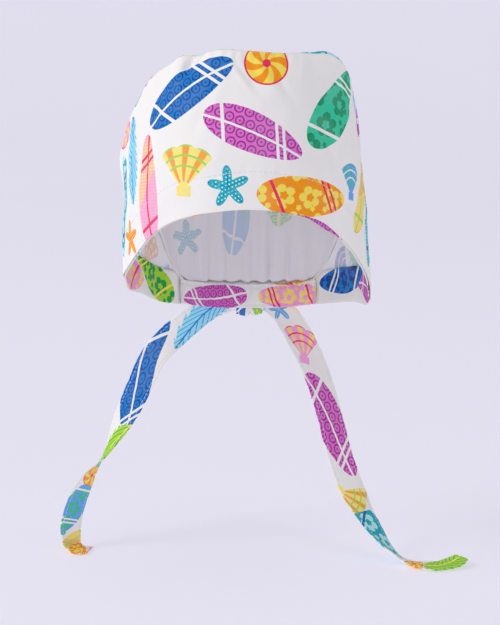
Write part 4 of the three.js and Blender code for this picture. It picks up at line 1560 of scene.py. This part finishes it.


# %% [markdown]
# The ties are the free cloth of this object. Each was a flat strip 20 mm wide before it was
# tied, as long as its own middle line, and it hangs from the knot. The cell below only
# works out that flat length for each tie.

# %% What the ties were cut to
for tie, table, stitches in (
    (left_tie, TIE_LEFT, left_stitches), (right_tie, TIE_RIGHT, right_stitches),
):
    flat_length = round(ribbon_length(table) * MM, 3)


# %% [markdown]
# The object stands in a plain pale sweep: a round floor of paper that curves up all the way
# round, so that no line shows behind the object from any side. One large soft light from
# the upper left, a weaker one from the right, a faint one above and a pale surrounding
# light give the high, even tone of a studio.

# %% The sweep
# The floor is at the lowest point of the solids, where the ends of the ties lie.
FLOOR_Z = -256.8
SWEEP_RADIUS = 6.0
SWEEP_HEIGHT = 3.4
SWEEP_BEND = 2.2
PAPER_TONES = (ink(177, 175, 185), ink(180, 178, 188))
# A little light of the paper's own keeps it even, whatever shadow falls on it.
PAPER_GLOW_TONE = ink(224, 222, 234)
PAPER_GLOW = 0.63


def plain_paper():
    material, tree, shader = principled("pale_backdrop_paper", {**COTTON, "Sheen Weight": 0.0})
    place = tree.nodes.new("ShaderNodeTexCoord")
    grain = tree.nodes.new("ShaderNodeTexNoise")
    grain.inputs["Scale"].default_value = 3.0
    tree.links.new(place.outputs["Object"], grain.inputs["Vector"])
    tone = colour_mix(tree, grain.outputs["Fac"], *PAPER_TONES)
    tree.links.new(tone, shader.inputs["Base Color"])
    shader.inputs["Emission Color"].default_value = PAPER_GLOW_TONE
    shader.inputs["Emission Strength"].default_value = PAPER_GLOW
    return material


def make_sweep(floor_z):
    sweep = bmesh.new()
    bmesh.ops.create_circle(sweep, cap_ends=True, segments=96, radius=SWEEP_RADIUS)
    rim_edges = [e for e in sweep.edges if e.is_boundary]
    corner = {v.co.to_tuple(4) for e in rim_edges for v in e.verts}
    made = bmesh.ops.extrude_edge_only(sweep, edges=rim_edges)["geom"]
    raised = [g for g in made if isinstance(g, bmesh.types.BMVert)]
    bmesh.ops.translate(sweep, verts=raised, vec=(0, 0, SWEEP_HEIGHT))
    bend = [e for e in sweep.edges if all(v.co.to_tuple(4) in corner for v in e.verts)]
    bmesh.ops.bevel(
        sweep, geom=bend, offset=SWEEP_BEND, offset_type="OFFSET", segments=20, profile=0.5,
        affect="EDGES", material=-1,
    )
    bmesh.ops.translate(sweep, verts=sweep.verts, vec=(0, 0, floor_z))
    bmesh.ops.recalc_face_normals(sweep, faces=sweep.faces)
    bmesh.ops.reverse_faces(sweep, faces=sweep.faces)
    data = to_data(sweep, "backdrop_sweep")
    data.shade_smooth()
    data.materials.append(plain_paper())
    stage = to_object("backdrop_sweep", data)
    stage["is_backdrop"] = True


low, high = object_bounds()
make_sweep(min(low.z, FLOOR_Z * MM))
print("floor at", round(min(low.z / MM, FLOOR_Z), 2), "mm")

# %% Light
# Rows of name, place, target, diameter, power and colour, in metres and watts.
SOFTBOXES = [
    ("key_softbox", (-5.1, -1.6, 3.1), (0, 0, -0.05), 3.4, 168, (1.0, 0.99, 0.97)),
    ("fill_softbox", (3.9, -3.6, 2.3), (0, 0, -0.05), 2.7, 22, (1.0, 0.99, 0.98)),
    ("top_softbox", (0.2, -0.4, 2.8), (0, 0, 0), 1.8, 8, (1.0, 1.0, 1.0)),
]
ROOM_TONE = (0.98, 0.98, 1.0, 1.0)
ROOM_LIGHT = 0.25


def soft_light(name, place, target, size, power, colour):
    data = bpy.data.lights.new(name, "AREA")
    data.shape, data.size, data.energy, data.color = "DISK", size, power, colour
    light = to_object(name, data)
    light.location = place
    light.rotation_euler = (Vector(target) - Vector(place)).to_track_quat("-Z", "Y").to_euler()
    light.visible_camera = False


world = bpy.data.worlds.new("pale_room")
bpy.context.scene.world = world
world.use_nodes = True
room = world.node_tree.nodes["Background"]
room.inputs["Color"].default_value = ROOM_TONE
room.inputs["Strength"].default_value = ROOM_LIGHT
for softbox in SOFTBOXES:
    soft_light(*softbox)
bpy.context.scene.view_settings.view_transform = "Standard"
print("soft lights:", len(SOFTBOXES))

# %% [markdown]
# The camera stands a metre in front of the cap and looks down slightly. Its height, tilt
# and lens were worked out from the cap's own sizes: with them the cap's widest place, the
# seam, the hem and the ends of the ties all fall where the photo has them.

# %% Camera
CAMERA_PLACE = (1.3 * MM, -1100 * MM, 88.7 * MM)
CAMERA_TILT = 8.6
CAMERA_LENS = 95.7
camera_data = bpy.data.cameras.new("camera")
camera_data.lens = CAMERA_LENS
camera_data.clip_start, camera_data.clip_end = 0.05, 20
camera = to_object("camera", camera_data)
camera.location = CAMERA_PLACE
camera.rotation_euler = (math.radians(90 - CAMERA_TILT), 0, 0)
bpy.context.scene.camera = camera
print("camera height:", round(CAMERA_PLACE[2] / MM, 1), "mm, lens:", CAMERA_LENS)

# %% The size of the finished model
low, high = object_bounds()
sizes = {
    "cad": [list(cad_low), list(cad_high)],
    "visual": [list(low), list(high)],
}
for axis, name in enumerate("xyz"):
    moved = [(low[axis] - cad_low[axis]) / MM, (high[axis] - cad_high[axis]) / MM]
    print(name, "ends moved by", [round(way, 1) for way in moved], "mm")
